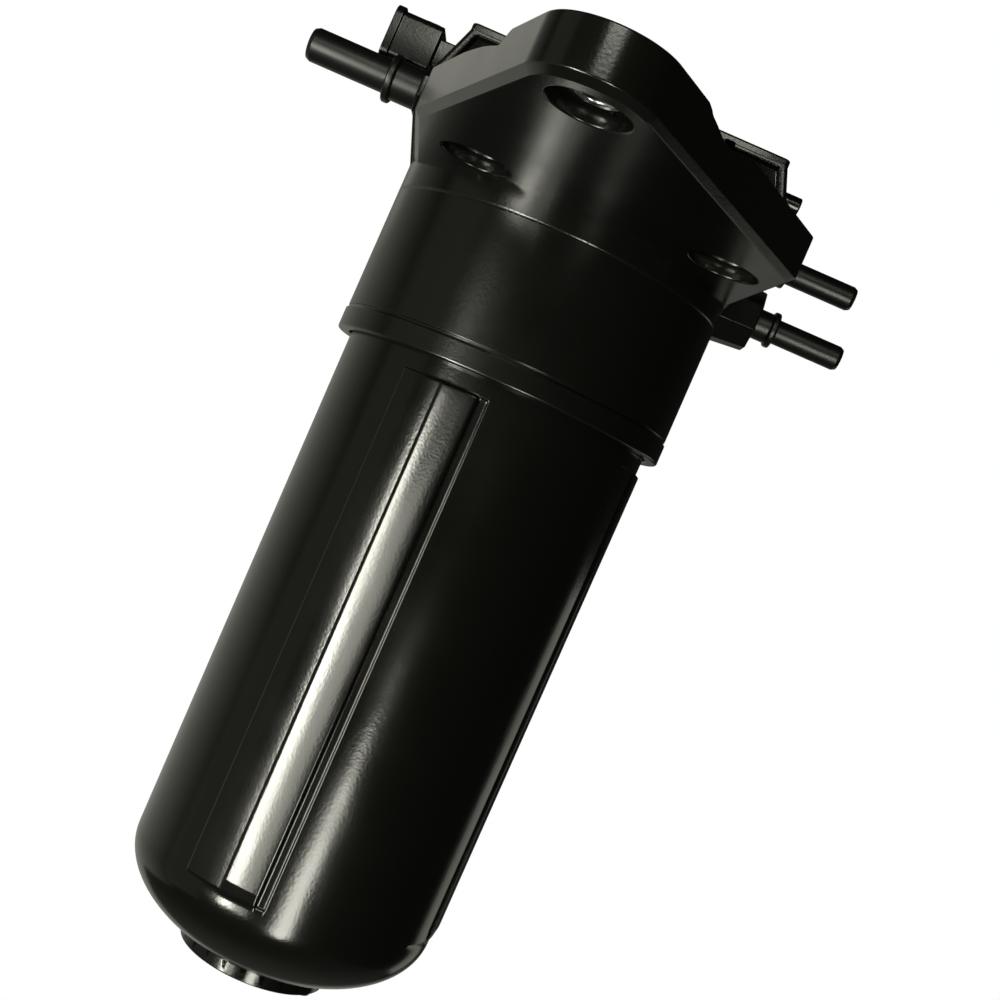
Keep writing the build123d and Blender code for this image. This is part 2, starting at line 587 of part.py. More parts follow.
def head_passages():
    """The drilled ways through the housing, and the seats of the stems and the connector."""
    inlet = Pos(0, INLET_Y, INLET_Z) * Rot(0, -90, 0)
    outlet = Pos(0, OUTLET_Y, OUTLET_Z) * Rot(0, 90, 0)
    back = Pos(0, OUTLET_Y, RETURN_Z) * Rot(0, 90, 0)
    wide = insert_radius(INLET_BORE_R) + SEAT
    slim = insert_radius(OUTLET_BORE_R) + SEAT
    ways = down_ways()
    ways += inlet * rod(INLET_BORE_R, -INLET_DROP_X, -INLET_BOSS_X + PAST)
    ways += inlet * rod(wide, -INLET_BOSS_X - STEM_INSERT_L, -INLET_BOSS_X + PAST)
    ways += outlet * rod(OUTLET_BORE_R, VALVE_X, OUTLET_BOSS_X + PAST)
    ways += outlet * rod(slim, OUTLET_BOSS_X - STEM_INSERT_L, OUTLET_BOSS_X + PAST)
    ways += back * rod(OUTLET_BORE_R, CAVITY_RIGHT_X - 2 * PAST, RETURN_BOSS_X + PAST)
    ways += back * rod(slim, RETURN_BOSS_X - STEM_INSERT_L, RETURN_BOSS_X + PAST)
    ways += VALVE_AXIS * rod(VALVE_BORE_R, VALVE_MOUTH_Y - PAST, VALVE_END_Y)
    ways += block(CHAMBER_LEFT_X - CHAMBER_BULGE - PAST, CAVITY_LEFT_X + PAST,
                  CONNECTOR_Y - CONNECTOR_ROOT_W / 2 - SEAT, CONNECTOR_Y + CONNECTOR_ROOT_W / 2 + SEAT,
                  CONNECTOR_Z - CONNECTOR_ROOT_H / 2 - SEAT, CONNECTOR_Z + CONNECTOR_ROOT_H / 2 + SEAT)
    return ways


def bolt_sleeves():
    """The three steel sleeves that take the bolts' clamping load."""
    sleeve = ring(SLEEVE_OUTER_R, SLEEVE_BORE_R, RECESS_DEPTH - FLANGE_T - SLEEVE_PROUD, 0)
    return [Pos(x, y, 0) * sleeve for x, y in BOLTS]


def pump_cover():
    """The chamber's lid, with two saddles that hold the motor down."""
    middle = ((CHAMBER_LEFT_X + CHAMBER_RIGHT_X) / 2, (CHAMBER_FRONT_Y + CHAMBER_BACK_Y) / 2)
    plate = RectangleRounded(
        CHAMBER_RIGHT_X - CHAMBER_LEFT_X, CHAMBER_BACK_Y - CHAMBER_FRONT_Y, CHAMBER_CORNER_R)
    lid = extrude(Pos(middle[0], middle[1], CHAMBER_TOP_Z) * plate, COVER_T)
    lid = chamfer(lid.edges().group_by(Axis.Z)[-1], 0.5)
    for x in ISOLATOR_XS:
        saddle = block(x - SADDLE_L / 2, x + SADDLE_L / 2, MOTOR_Y - SADDLE_LID_HALF, MOTOR_Y + SADDLE_LID_HALF,
                       MOTOR_Z + SADDLE_LID_RISE, CHAMBER_TOP_Z + PAST)
        lid += saddle - MOTOR_AXIS * rod(ISOLATOR_R + SEAT, x - SADDLE_L, x + SADDLE_L)
    top = CHAMBER_TOP_Z + COVER_T
    for x, y in screw_places():
        lid -= Pos(x, y, 0) * rod(SCREW_R + SEAT, CHAMBER_TOP_Z - PAST, top + PAST)
        sink = SCREW_HEAD_R - SCREW_R
        lid -= Pos(x, y, 0) * turned([
            (0, top - sink - SEAT), (SCREW_R + SEAT, top - sink - SEAT), (SCREW_HEAD_R + SEAT, top), (0, top)])
    return lid


def cover_screws():
    """Six countersunk screws, flush with the lid."""
    top = CHAMBER_TOP_Z + COVER_T
    sink = SCREW_HEAD_R - SCREW_R
    screw = turned([
        (0, top - SCREW_L), (SCREW_R, top - SCREW_L), (SCREW_R, top - sink), (SCREW_HEAD_R, top), (0, top)])
    screw -= Pos(0, 0, top) * Box(2 * SCREW_R, SCREW_SLOT_W, 2 * SCREW_SLOT_W)
    return [Pos(x, y, 0) * screw for x, y in screw_places()]


def cover_seal():
    """The seal in the groove on top of the chamber's walls."""
    band = offset(cavity_outline(), SEAL_INSET + SEAL_W) - offset(cavity_outline(), SEAL_INSET)
    return extrude(Pos(0, 0, CHAMBER_TOP_Z) * band, -SEAL_DEPTH)


def insert_radius(bore_r):
    """The radius of the end of a stem that is pressed into the head."""
    return bore_r + STEM_INSERT_WALL


def stem(nominal_r, bead_r, bore_r, bead_from_tip, length):
    """A quick-connect stem on the local Z axis, its root at height 0 and its tip at length."""
    root_r = nominal_r + STEM_ROOT_GROW
    insert = insert_radius(bore_r)
    groove = insert - STEM_SEAL_DEPTH
    low = -STEM_SEAL_IN - STEM_SEAL_W
    bead = length - bead_from_tip
    bead_edge = bead_r - BEAD_T / 4
    outer = turned([
        (0, -STEM_INSERT_L), (insert, -STEM_INSERT_L), (insert, low), (groove, low), (groove, -STEM_SEAL_IN),
        (insert, -STEM_SEAL_IN), (insert, 0), (root_r, 0), (root_r, bead - BEAD_T), (bead_edge, bead - BEAD_T),
        (bead_r, bead - BEAD_T / 2), (bead_edge, bead), (nominal_r, bead), (nominal_r, length - STEM_TIP_L),
        (nominal_r - STEM_TIP_L / 2, length), (0, length)])
    return outer - rod(bore_r, -STEM_INSERT_L - PAST, length + PAST)


def inlet_stem():
    """The 9.5 mm stem on the left."""
    piece = stem(INLET_R, INLET_BEAD_R, INLET_BORE_R, INLET_BEAD_FROM_TIP, INLET_BOSS_X - INLET_TIP_X)
    return Pos(INLET_BOSS_X, INLET_Y, INLET_Z) * Rot(0, -90, 0) * piece


def outlet_stem():
    """The 7.9 mm stem at the lower right."""
    piece = stem(OUTLET_R, OUTLET_BEAD_R, OUTLET_BORE_R, OUTLET_BEAD_FROM_TIP, OUTLET_TIP_X - OUTLET_BOSS_X)
    return Pos(OUTLET_BOSS_X, OUTLET_Y, OUTLET_Z) * Rot(0, 90, 0) * piece


def return_stem():
    """The 7.9 mm stem at the upper right."""
    piece = stem(OUTLET_R, OUTLET_BEAD_R, OUTLET_BORE_R, OUTLET_BEAD_FROM_TIP, RETURN_TIP_X - RETURN_BOSS_X)
    return Pos(RETURN_BOSS_X, OUTLET_Y, RETURN_Z) * Rot(0, 90, 0) * piece


def stem_seals():
    """One seal in the groove of each stem's pressed end."""
    wide = insert_radius(INLET_BORE_R)
    slim = insert_radius(OUTLET_BORE_R)
    low, high = -STEM_SEAL_IN - STEM_SEAL_W, -STEM_SEAL_IN
    big = soft_ring(wide, wide - STEM_SEAL_DEPTH, low, high)
    small = soft_ring(slim, slim - STEM_SEAL_DEPTH, low, high)
    return [
        Pos(INLET_BOSS_X, INLET_Y, INLET_Z) * Rot(0, -90, 0) * big,
        Pos(OUTLET_BOSS_X, OUTLET_Y, OUTLET_Z) * Rot(0, 90, 0) * small,
        Pos(RETURN_BOSS_X, OUTLET_Y, RETURN_Z) * Rot(0, 90, 0) * small,
    ]


def terminal_ys():
    """Where the connector's two terminals lie across it."""
    return (CONNECTOR_Y - TERMINAL_PITCH / 2, CONNECTOR_Y + TERMINAL_PITCH / 2)


def connector_shell():
    """The plug socket on the left wall, open at its mouth, with a latch ramp on top."""
    root_x = CAVITY_LEFT_X
    half_w, half_h = CONNECTOR_W / 2, CONNECTOR_H / 2
    tube = block(CONNECTOR_MOUTH_X, CONNECTOR_END_X, CONNECTOR_Y - half_w, CONNECTOR_Y + half_w,
                 CONNECTOR_Z - half_h, CONNECTOR_Z + half_h)
    tube = fillet(tube.edges().filter_by(Axis.X), CONNECTOR_CORNER_R)
    rim = block(CONNECTOR_MOUTH_X, CONNECTOR_MOUTH_X + RIM_L, CONNECTOR_Y - half_w - RIM_PROUD,
                CONNECTOR_Y + half_w + RIM_PROUD, CONNECTOR_Z - half_h - RIM_PROUD,
                CONNECTOR_Z + half_h + RIM_PROUD)
    rim = fillet(rim.edges().filter_by(Axis.X), CONNECTOR_CORNER_R + RIM_PROUD / 2)
    root = block(CONNECTOR_END_X, root_x, CONNECTOR_Y - CONNECTOR_ROOT_W / 2, CONNECTOR_Y + CONNECTOR_ROOT_W / 2,
                 CONNECTOR_Z - CONNECTOR_ROOT_H / 2, CONNECTOR_Z + CONNECTOR_ROOT_H / 2)
    ramp_x = CONNECTOR_MOUTH_X + RIM_L
    top = CONNECTOR_Z + half_h
    ramp = extrude(Plane.XZ * make_face(Polyline(
        (ramp_x, top - 0.5), (ramp_x + LATCH_L, top - 0.5), (ramp_x + LATCH_L, top + LATCH_H),
        (ramp_x + LATCH_L * 0.6, top + LATCH_H), (ramp_x, top + 0.3), close=True)), LATCH_W)
    shell = tube + rim + root + Pos(0, CONNECTOR_Y + LATCH_W / 2, 0) * ramp
    hollow = block(CONNECTOR_MOUTH_X - PAST, CONNECTOR_FLOOR_X, CONNECTOR_Y - half_w + CONNECTOR_WALL,
                   CONNECTOR_Y + half_w - CONNECTOR_WALL, CONNECTOR_Z - half_h + CONNECTOR_WALL,
                   CONNECTOR_Z + half_h - CONNECTOR_WALL)
    shell -= fillet(hollow.edges().filter_by(Axis.X), CONNECTOR_CORNER_R / 2)
    for y in terminal_ys():
        shell -= block(CONNECTOR_FLOOR_X - PAST, root_x + PAST, y - TERMINAL_W / 2, y + TERMINAL_W / 2,
                       CONNECTOR_Z - TERMINAL_T / 2, CONNECTOR_Z + TERMINAL_T / 2)
    return shell


def connector_terminals():
    """Two flat blades that run through the connector's root."""
    tip = CONNECTOR_MOUTH_X + TERMINAL_SUNK
    blades = []
    for y in terminal_ys():
        blade = block(tip, CAVITY_LEFT_X + TERMINAL_IN, y - TERMINAL_W / 2, y + TERMINAL_W / 2,
                      CONNECTOR_Z - TERMINAL_T / 2, CONNECTOR_Z + TERMINAL_T / 2)
        blades.append(chamfer(blade.edges().group_by(Axis.X)[0].filter_by(Axis.Z), 0.7))
    return blades


def motor_leads():
    """Two short leads from the terminals to the brush holder's end."""
    leads = []
    start_x = CAVITY_LEFT_X + TERMINAL_IN
    end_x = MOTOR_END_X - SEAT
    for y, end_y in zip(terminal_ys(), (MOTOR_Y - 6.0, MOTOR_Y + 2.0)):
        mid = ((start_x + end_x) / 2, (y + end_y) / 2, (CONNECTOR_Z + MOTOR_Z + 8.0) / 2)
        path = Spline(
            (start_x + SEAT, y, CONNECTOR_Z), mid, (end_x, end_y, MOTOR_Z + 8.0),
            tangents=[(1, 0, 0), (1, 0, 0)])
        leads.append(sweep(Plane(path @ 0, z_dir=path % 0) * Circle(LEAD_R), path))
    return leads


def motor_can():
    """The motor's steel can, rolled in over the brush holder at its left end."""
    lip = MOTOR_BORE_R - 1.2
    return MOTOR_AXIS * turned([
        (lip, MOTOR_CAN_X0), (MOTOR_CAN_R - 0.8, MOTOR_CAN_X0), (MOTOR_CAN_R, MOTOR_CAN_X0 + 0.8),
        (MOTOR_CAN_R, MOTOR_CAN_X1), (MOTOR_BORE_R, MOTOR_CAN_X1), (MOTOR_BORE_R, MOTOR_CAN_X0 + MOTOR_CAN_T),
        (lip, MOTOR_CAN_X0 + MOTOR_CAN_T)])


def field_magnets():
    """Two curved magnets inside the can."""
    outer = MOTOR_BORE_R - SEAT
    inner = MOTOR_BORE_R - MAGNET_T
    x0, x1 = CORE_X0 - 2.5, CORE_X1 + 2.5
    bar = [(inner, x0), (outer, x0), (outer, x1), (inner, x1)]
    return [MOTOR_AXIS * sector(bar, start - MAGNET_SPAN / 2, MAGNET_SPAN) for start in range(0, 360, 180)]


def motor_isolators():
    """Two rubber rings between the can and its saddles."""
    return [MOTOR_AXIS * soft_ring(ISOLATOR_R, MOTOR_CAN_R + SEAT, x - ISOLATOR_L / 2, x + ISOLATOR_L / 2)
            for x in ISOLATOR_XS]


def brush_holder():
    """The plastic end of the motor that carries the bush and the two brushes."""
    plug = MOTOR_BORE_R - SEAT
    neck = MOTOR_BORE_R - 1.2 - SEAT
    inner_x = MOTOR_CAN_X0 + MOTOR_CAN_T + SEAT
    body = turned([
        (0, MOTOR_END_X), (neck - 1, MOTOR_END_X), (neck, MOTOR_END_X + 1), (neck, inner_x), (plug, inner_x),
        (plug, HOLDER_X1), (0, HOLDER_X1)])
    body -= rod(HOLDER_CAVITY_R, COMMUTATOR_X0 - 1.5, HOLDER_X1 + PAST)
    body -= rod(BUSH_R, SHAFT_X0 - 1.0, COMMUTATOR_X0)
    slot = Pos(0, 0, BRUSH_X) * Box(BRUSH_H + 2 * SEAT, 2 * MOTOR_CAN_R, BRUSH_W + 2 * SEAT)
    return MOTOR_AXIS * (body - slot)


def carbon_brushes():
    """Two carbon blocks that bear on the commutator."""
    reach = COMMUTATOR_R + 0.1
    bar = Pos(0, reach / 2 + BRUSH_L / 2 + reach / 4, BRUSH_X) * Box(BRUSH_H, BRUSH_L + reach / 2, BRUSH_W)
    bar -= rod(reach, BRUSH_X - BRUSH_W, BRUSH_X + BRUSH_W)
    return [MOTOR_AXIS * Rot(0, 0, turn) * bar for turn in (0, 180)]


def brush_springs():
    """A small spring behind each brush."""
    reach = COMMUTATOR_R + 0.1
    back = reach + BRUSH_L
    spring = coil(1.35, 0.25, back, MOTOR_BORE_R - SEAT, 4)
    return [MOTOR_AXIS * Pos(0, 0, BRUSH_X) * Rot(-90 * side, 0, 0) * spring for side in (1, -1)]


def motor_bushes():
    """The two plain bearings of the shaft."""
    left = ring(BUSH_R - SEAT, SHAFT_R + RUN, SHAFT_X0 - 1.0 + SEAT, COMMUTATOR_X0 - 1.6)
    base = MOTOR_CAN_X1
    right = ring(BUSH_R - SEAT, SHAFT_R + RUN, base - 2.5, base + BASE_PLATE_T - 0.4)
    return [MOTOR_AXIS * left, MOTOR_AXIS * right]


def motor_shaft():
    """The rotor's shaft, with a flat where the impeller sits."""
    shaft = rod(SHAFT_R, SHAFT_X0, SHAFT_X1)
    start = MOTOR_CAN_X1 + BASE_PLATE_T - 0.2
    end = SHAFT_X1 + PAST
    flat = Pos(SHAFT_R + 0.5, 0, (start + end) / 2) * Box(2.0, 4.0, end - start)
    return MOTOR_AXIS * (shaft - flat)


def armature_core():
    """The laminated rotor core with its winding slots."""
    core = rod(CORE_RADIUS, CORE_X0, CORE_X1) - rod(SHAFT_R + 0.01, CORE_X0 - PAST, CORE_X1 + PAST)
    middle = (CORE_X0 + CORE_X1) / 2
    length = CORE_X1 - CORE_X0 + 2
    deep = CORE_RADIUS - 1.0
    for i in range(SLOTS):
        slot = Pos((4.6 + deep) / 2, 0, middle) * Box(deep - 4.6, SLOT_W, length)
        mouth = Pos(CORE_RADIUS, 0, middle) * Box(3.0, SLOT_MOUTH, length)
        core -= Rot(0, 0, i * 360 / SLOTS) * (slot + mouth)
    return MOTOR_AXIS * core


def armature_windings():
    """The copper in the slots and the two rings of end turns."""
    x0, x1 = CORE_X0, CORE_X1
    inner, outer = 4.2, CORE_RADIUS - 0.8
    coils = turned([
        (inner, x1 + SEAT), (outer, x1 + SEAT), (outer - 0.8, x1 + END_TURN_L), (inner, x1 + END_TURN_L)])
    coils += turned([
        (inner, x0 - SEAT), (outer, x0 - SEAT), (outer - 0.8, x0 - END_TURN_L), (inner, x0 - END_TURN_L)])
    low, high = 4.8, CORE_RADIUS - 1.2
    for i in range(SLOTS):
        bar = Pos((low + high) / 2, 0, (x0 + x1) / 2) * Box(high - low, SLOT_W - 2 * SEAT, x1 - x0 + 1.0)
        coils += Rot(0, 0, i * 360 / SLOTS) * bar
    return MOTOR_AXIS * coils


def commutator():
    """The copper commutator, slotted between its bars."""
    drum = ring(COMMUTATOR_R, SHAFT_R + 0.01, COMMUTATOR_X0, COMMUTATOR_X1)
    middle = (COMMUTATOR_X0 + COMMUTATOR_X1) / 2
    for i in range(SLOTS):
        cut = Pos(COMMUTATOR_R, 0, middle) * Box(1.6, 0.5, COMMUTATOR_X1 - COMMUTATOR_X0 + 2)
        drum -= Rot(0, 0, (i + 0.5) * 360 / SLOTS) * cut
    drum += ring(COMMUTATOR_R - 1.5, SHAFT_R + 0.01, COMMUTATOR_X1 - 0.1, CORE_X0 - 0.1)
    return MOTOR_AXIS * drum


def impeller():
    """The regenerative impeller: a disc with short vanes round its rim."""
    x0 = MOTOR_CAN_X1 + BASE_PLATE_T + IMPELLER_SIDE
    disc = rod(IMPELLER_R, x0, x0 + IMPELLER_T)
    middle = x0 + IMPELLER_T / 2
    bore = rod(SHAFT_R + 0.03, x0 - PAST, x0 + IMPELLER_T + PAST)
    bore -= Pos(SHAFT_R + 0.53, 0, middle) * Box(2.0, 4.0, IMPELLER_T + 4)
    disc -= bore
    for i in range(VANES):
        notch = Pos(IMPELLER_R - (VANE_DEPTH - PAST) / 2, 0, middle) * Box(
            VANE_DEPTH + PAST, VANE_GAP, IMPELLER_T + 2 * PAST)
        disc -= Rot(0, 0, (i + 0.5) * 360 / VANES) * notch
    return MOTOR_AXIS * disc


def pump_base_plate():
    """The plate between motor and impeller, which holds the right-hand bush."""
    x1 = MOTOR_CAN_X1 + BASE_PLATE_T
    plate = rod(MOTOR_CAN_R, MOTOR_CAN_X1 + SEAT, x1) + rod(MOTOR_BORE_R - SEAT, MOTOR_CAN_X1 - 3.0, x1)
    plate -= rod(BUSH_R, MOTOR_CAN_X1 - 4, x1 - 0.4 + SEAT)
    plate -= rod(SHAFT_R + 0.4, MOTOR_CAN_X1, x1 + PAST)
    return MOTOR_AXIS * plate


def pump_inlet_cover():
    """The impeller's chamber, with the inlet port in its face and the outlet nozzle at its side."""
    x0 = MOTOR_CAN_X1 + BASE_PLATE_T
    body = rod(MOTOR_CAN_R, x0, PUMP_END_X)
    body -= rod(IMPELLER_R + FREE, x0 - PAST, POCKET_X1)
    body -= rod(SHAFT_R + 0.4, POCKET_X1 - PAST, SHAFT_X1 + 0.6)
    body -= Pos(IMPELLER_R - 2.0, 0, 0) * rod(2.2, POCKET_X1 - PAST, PUMP_END_X + PAST)
    body = MOTOR_AXIS * body
    outer = VALVE_AXIS * rod(NOZZLE_R, MOTOR_Y + 8.0, SEAT_Y)
    outer -= MOTOR_AXIS * rod(MOTOR_CAN_R - PAST, x0 - PAST, PUMP_END_X + PAST)
    return body + outer - VALVE_AXIS * rod(NOZZLE_BORE_R, MOTOR_Y + 6.0, SEAT_Y + PAST)


def outlet_link_seal():
    """The seal round the pump's nozzle in the valve bore."""
    return VALVE_AXIS * soft_ring(VALVE_BORE_R - SEAT, NOZZLE_R + SEAT, VALVE_MOUTH_Y + 1, VALVE_MOUTH_Y + 4)


def valve_seat():
    """The pressed ring that the poppet closes on."""
    seat = ring(VALVE_BORE_R - SEAT, SEAT_BORE_R, SEAT_Y + SEAT, SEAT_Y + SEAT_T)
    return VALVE_AXIS * seat


def valve_poppet():
    """The check valve's poppet with its crossed guide vanes."""
    y0 = SEAT_Y + SEAT_T + 0.05
    disc = rod(POPPET_R, y0, y0 + POPPET_T)
    length = POPPET_T + POPPET_SKIRT_L
    guide = rod(VALVE_BORE_R - 0.1, y0 + POPPET_T / 2, y0 + length)
    middle = y0 + length / 2
    cross = Pos(0, 0, middle) * Box(1.2, 4 * POPPET_R, 2 * length)
    cross += Pos(0, 0, middle) * Box(4 * POPPET_R, 1.2, 2 * length)
    return VALVE_AXIS * (disc + (guide & cross))


def valve_spring():
    """The spring that closes the check valve."""
    y0 = SEAT_Y + SEAT_T + 0.05 + POPPET_T + POPPET_SKIRT_L
    return VALVE_AXIS * coil(3.4, 0.4, y0 + 0.1, VALVE_END_Y, 3.5)


def neck_seal():
    """The seal in the spigot's groove, which the canister's neck slides over."""
    return CANISTER_AXIS * soft_ring(
        SPIGOT_R + SPIGOT_GAP - FREE, SPIGOT_R - SPIGOT_SEAL_DEPTH, SPIGOT_SEAL_Z + SEAT,
        SPIGOT_SEAL_Z + SPIGOT_SEAL_W - SEAT)


def wall_radius(z, top_r, foot_r):
    """The radius of the canister's tapered side wall at a height."""
    share = (CANISTER_SHOULDER_Z - z) / (CANISTER_SHOULDER_Z - CANISTER_EDGE_Z)
    return top_r + (foot_r - top_r) * share


def dome(side, edge_r, height, end_z):
    """Turn the profile points of a side wall, then an elliptical dome, down to a flat at end_z."""
    drop = CANISTER_EDGE_Z - end_z
    turn = math.degrees(math.asin(min(drop / height, 1.0)))
    curve = EllipticalCenterArc((0, CANISTER_EDGE_Z), edge_r, height, start_angle=-turn, arc_size=turn)
    start = side[0]
    low_x = edge_r * math.cos(math.radians(turn))
    edges = Polyline(*side, (edge_r, CANISTER_EDGE_Z))
    close = Polyline((low_x, end_z), (0, end_z), (0, start[1]), start)
    return revolve(Plane.XZ * make_face(Curve() + edges + curve + close), Axis.Z)


def strip_profile(height, top_z, foot_z):
    """The section of a raised strip on the side wall, with its foot bevelled off."""
    top_r = wall_radius(top_z, CANISTER_R_TOP, CANISTER_R_FOOT)
    foot_r = wall_radius(foot_z, CANISTER_R_TOP, CANISTER_R_FOOT)
    bevel = min(STRIP_CHAMFER, 4 * height)
    return [
        (top_r - PAST, top_z), (top_r + height, top_z), (foot_r + height, foot_z + bevel),
        (foot_r + 0.05, foot_z), (foot_r - PAST, foot_z)]


def canister_shell():
    """The filter canister: ribbed side, domed foot, drain ring and bayonet lugs."""
    neck_inner = CANISTER_NECK_R - CANISTER_NECK_WALL
    ring_z = CANISTER_EDGE_Z - DOME_H * math.sqrt(1 - (DRAIN_RING_R / CANISTER_R_FOOT) ** 2)
    outside = dome([
        (CANISTER_NECK_R, CANISTER_TOP_Z), (CANISTER_NECK_R, CANISTER_SHOULDER_Z),
        (CANISTER_R_TOP, CANISTER_SHOULDER_Z)], CANISTER_R_FOOT, DOME_H, ring_z - 0.5)
    outside += rod(DRAIN_RING_R, DRAIN_RING_Z, ring_z + PAST)
    outside -= rod(DRAIN_RING_R - DRAIN_RING_WALL, DRAIN_RING_Z - PAST, DRAIN_FLOOR_Z)
    inside = dome([
        (neck_inner, CANISTER_TOP_Z + PAST), (neck_inner, CANISTER_SHOULDER_Z - PAST),
        (CANISTER_INNER_R_TOP, CANISTER_SHOULDER_Z - 4)],
        CANISTER_INNER_R_FOOT, DOME_H - CANISTER_WALL, DRAIN_FLOOR_Z + CANISTER_WALL)

    raised = strip_profile(RAISED_H, STRIP_TOP_Z, STRIP_FOOT_Z)
    panel = strip_profile(PANEL_H, STRIP_TOP_Z, STRIP_FOOT_Z)
    top_r = wall_radius(STRIP_TOP_Z, CANISTER_R_TOP, CANISTER_R_FOOT)
    foot_r = wall_radius(STRIP_FOOT_Z, CANISTER_R_TOP, CANISTER_R_FOOT)
    gutter = [
        (top_r - GUTTER_DEPTH, STRIP_TOP_Z), (top_r + 2, STRIP_TOP_Z), (foot_r + 2, STRIP_FOOT_Z),
        (foot_r - GUTTER_DEPTH, STRIP_FOOT_Z)]
    for i in range(STRIP_REPEATS):
        turn = i * 360.0 / STRIP_REPEATS
        outside += sector(raised, front_angle(RAISED_FROM) + turn, RAISED_TO - RAISED_FROM)
        outside += sector(panel, front_angle(PANEL_FROM) + turn, RAISED_FROM - PANEL_FROM)
        outside -= sector(gutter, front_angle(RAISED_TO) + turn, GUTTER_TO - RAISED_TO)

    low = LEDGE_TOP_Z + FREE
    lug = [(CANISTER_NECK_R - 0.5, low), (COLLAR_R - COLLAR_WALL - 0.5, low),
           (COLLAR_R - COLLAR_WALL - 0.5, low + LUG_T), (CANISTER_NECK_R - 0.5, low + LUG_T)]
    for i in range(BAYONETS):
        outside += sector(lug, i * 360.0 / BAYONETS - LUG_SPAN / 2, LUG_SPAN)
    shell = outside - inside - rod(DRAIN_BORE_R, DRAIN_RING_Z - PAST, DRAIN_FLOOR_Z + CANISTER_WALL + PAST)
    return CANISTER_AXIS * shell


def drain_tap():
    """The drain tap: a sunk disc with a finger bar, a barbed stem and a small slit spout."""
    top = DRAIN_FLOOR_Z - FREE
    low = top - TAP_T
    floor = DRAIN_FLOOR_Z + CANISTER_WALL
    tip = floor + FREE + TAP_BARB_L
    groove = top + TAP_SEAL_UP
    groove_r = TAP_STEM_R - TAP_SEAL_DEPTH
    tap = rod(TAP_R, low, top)
    for side in (1, -1):
        half = rod(TAP_R - TAP_RIM_T, low - PAST, low + TAP_DISH) & Pos(
            0, side * (TAP_R + TAP_GRIP_W / 2), low) * Box(2 * TAP_R, 2 * TAP_R, 4 * TAP_DISH)
        tap -= half - Pos(-SPOUT_AT_R, 0, 0) * rod(SPOUT_R + PAST, low - 2 * PAST, low + TAP_T)
    tap += turned([
        (0, top - PAST), (TAP_STEM_R, top - PAST), (TAP_STEM_R, groove), (groove_r, groove),
        (groove_r, groove + TAP_SEAL_W), (TAP_STEM_R, groove + TAP_SEAL_W), (TAP_STEM_R, floor + FREE),
        (TAP_BARB_R, floor + FREE), (TAP_STEM_R, tip), (0, tip)])
    spout = turned([
        (0, SPOUT_BOTTOM_Z), (SPOUT_R - SPOUT_SLIT / 2, SPOUT_BOTTOM_Z),
        (SPOUT_R, SPOUT_BOTTOM_Z + SPOUT_SLIT / 2), (SPOUT_R, low + PAST), (0, low + PAST)])
    spout -= Pos(0, 0, SPOUT_BOTTOM_Z) * Box(SPOUT_SLIT, 4 * SPOUT_R, 2 * TAP_DISH)
    tap += Pos(-SPOUT_AT_R, 0, 0) * spout
    tap -= rod(TAP_BORE_R, low + PAST, tip + PAST)
    return CANISTER_AXIS * tap


def drain_seal():
    """The seal on the tap's stem."""
    groove = DRAIN_FLOOR_Z - FREE + TAP_SEAL_UP
    return CANISTER_AXIS * soft_ring(
        DRAIN_BORE_R - FREE, TAP_STEM_R - TAP_SEAL_DEPTH, groove + SEAT, groove + TAP_SEAL_W - SEAT)


def element_top_cap():
    """The element's upper cap, with the collar that seals on the head's nipple."""
    low, top = ELEMENT_TOP_Z - CAP_T, ELEMENT_TOP_Z + ELEMENT_COLLAR_H
    lip = PLEAT_OUTER_R + SEAT
    bore = NIPPLE_R + FREE
    groove_r = NIPPLE_R + FREE + ELEMENT_SEAL_T
    groove = top - CAP_LIP_L / 2
    cap = turned([
        (lip, low), (lip, low - CAP_LIP_L), (ELEMENT_R, low - CAP_LIP_L), (ELEMENT_R, ELEMENT_TOP_Z),
        (ELEMENT_COLLAR_R, ELEMENT_TOP_Z), (ELEMENT_COLLAR_R, top), (bore, top), (bore, groove),
        (groove_r, groove), (groove_r, groove - ELEMENT_SEAL_H), (bore, groove - ELEMENT_SEAL_H), (bore, low)])
    return CANISTER_AXIS * cap


def element_seal():
    """The seal between the element and the head's nipple."""
    high = ELEMENT_TOP_Z + ELEMENT_COLLAR_H - CAP_LIP_L / 2
    return CANISTER_AXIS * soft_ring(
        NIPPLE_R + FREE + ELEMENT_SEAL_T, NIPPLE_R + FREE, high - ELEMENT_SEAL_H + SEAT, high - SEAT)


def element_core():
    """The element's inner cage, with windows between its hoops."""
    z0, z1 = ELEMENT_BOTTOM_Z + CAP_T, ELEMENT_TOP_Z - CAP_T
    cage = ring(CORE_R, CORE_R - CORE_WALL, z0, z1)
    rows = 6
    pitch = (z1 - z0) / rows
    for i in range(rows):
        for turn in (0, 60, 120):
            window = Pos(0, 0, z0 + (i + 0.5) * pitch) * Rot(0, 0, turn) * Box(3 * CORE_R, 7.0, pitch - 5.0)
            cage -= window
    return CANISTER_AXIS * cage


def pleat_star(outer, inner):
    """A star outline with one point for each pleat."""
    points = []
    for i in range(2 * PLEATS):
        radius = outer if i % 2 == 0 else inner
        turn = math.pi * i / PLEATS
        points.append((radius * math.cos(turn), radius * math.sin(turn)))
    return make_face(Polyline(*points, close=True))


def filter_media():
    """The pleated paper between the two caps."""
    z0, z1 = ELEMENT_BOTTOM_Z + CAP_T, ELEMENT_TOP_Z - CAP_T
    sheet = pleat_star(PLEAT_OUTER_R, PLEAT_INNER_R) - pleat_star(
        PLEAT_OUTER_R - PLEAT_SHEET, PLEAT_INNER_R - PLEAT_SHEET)
    return CANISTER_AXIS * extrude(Pos(0, 0, z0) * sheet, z1 - z0)


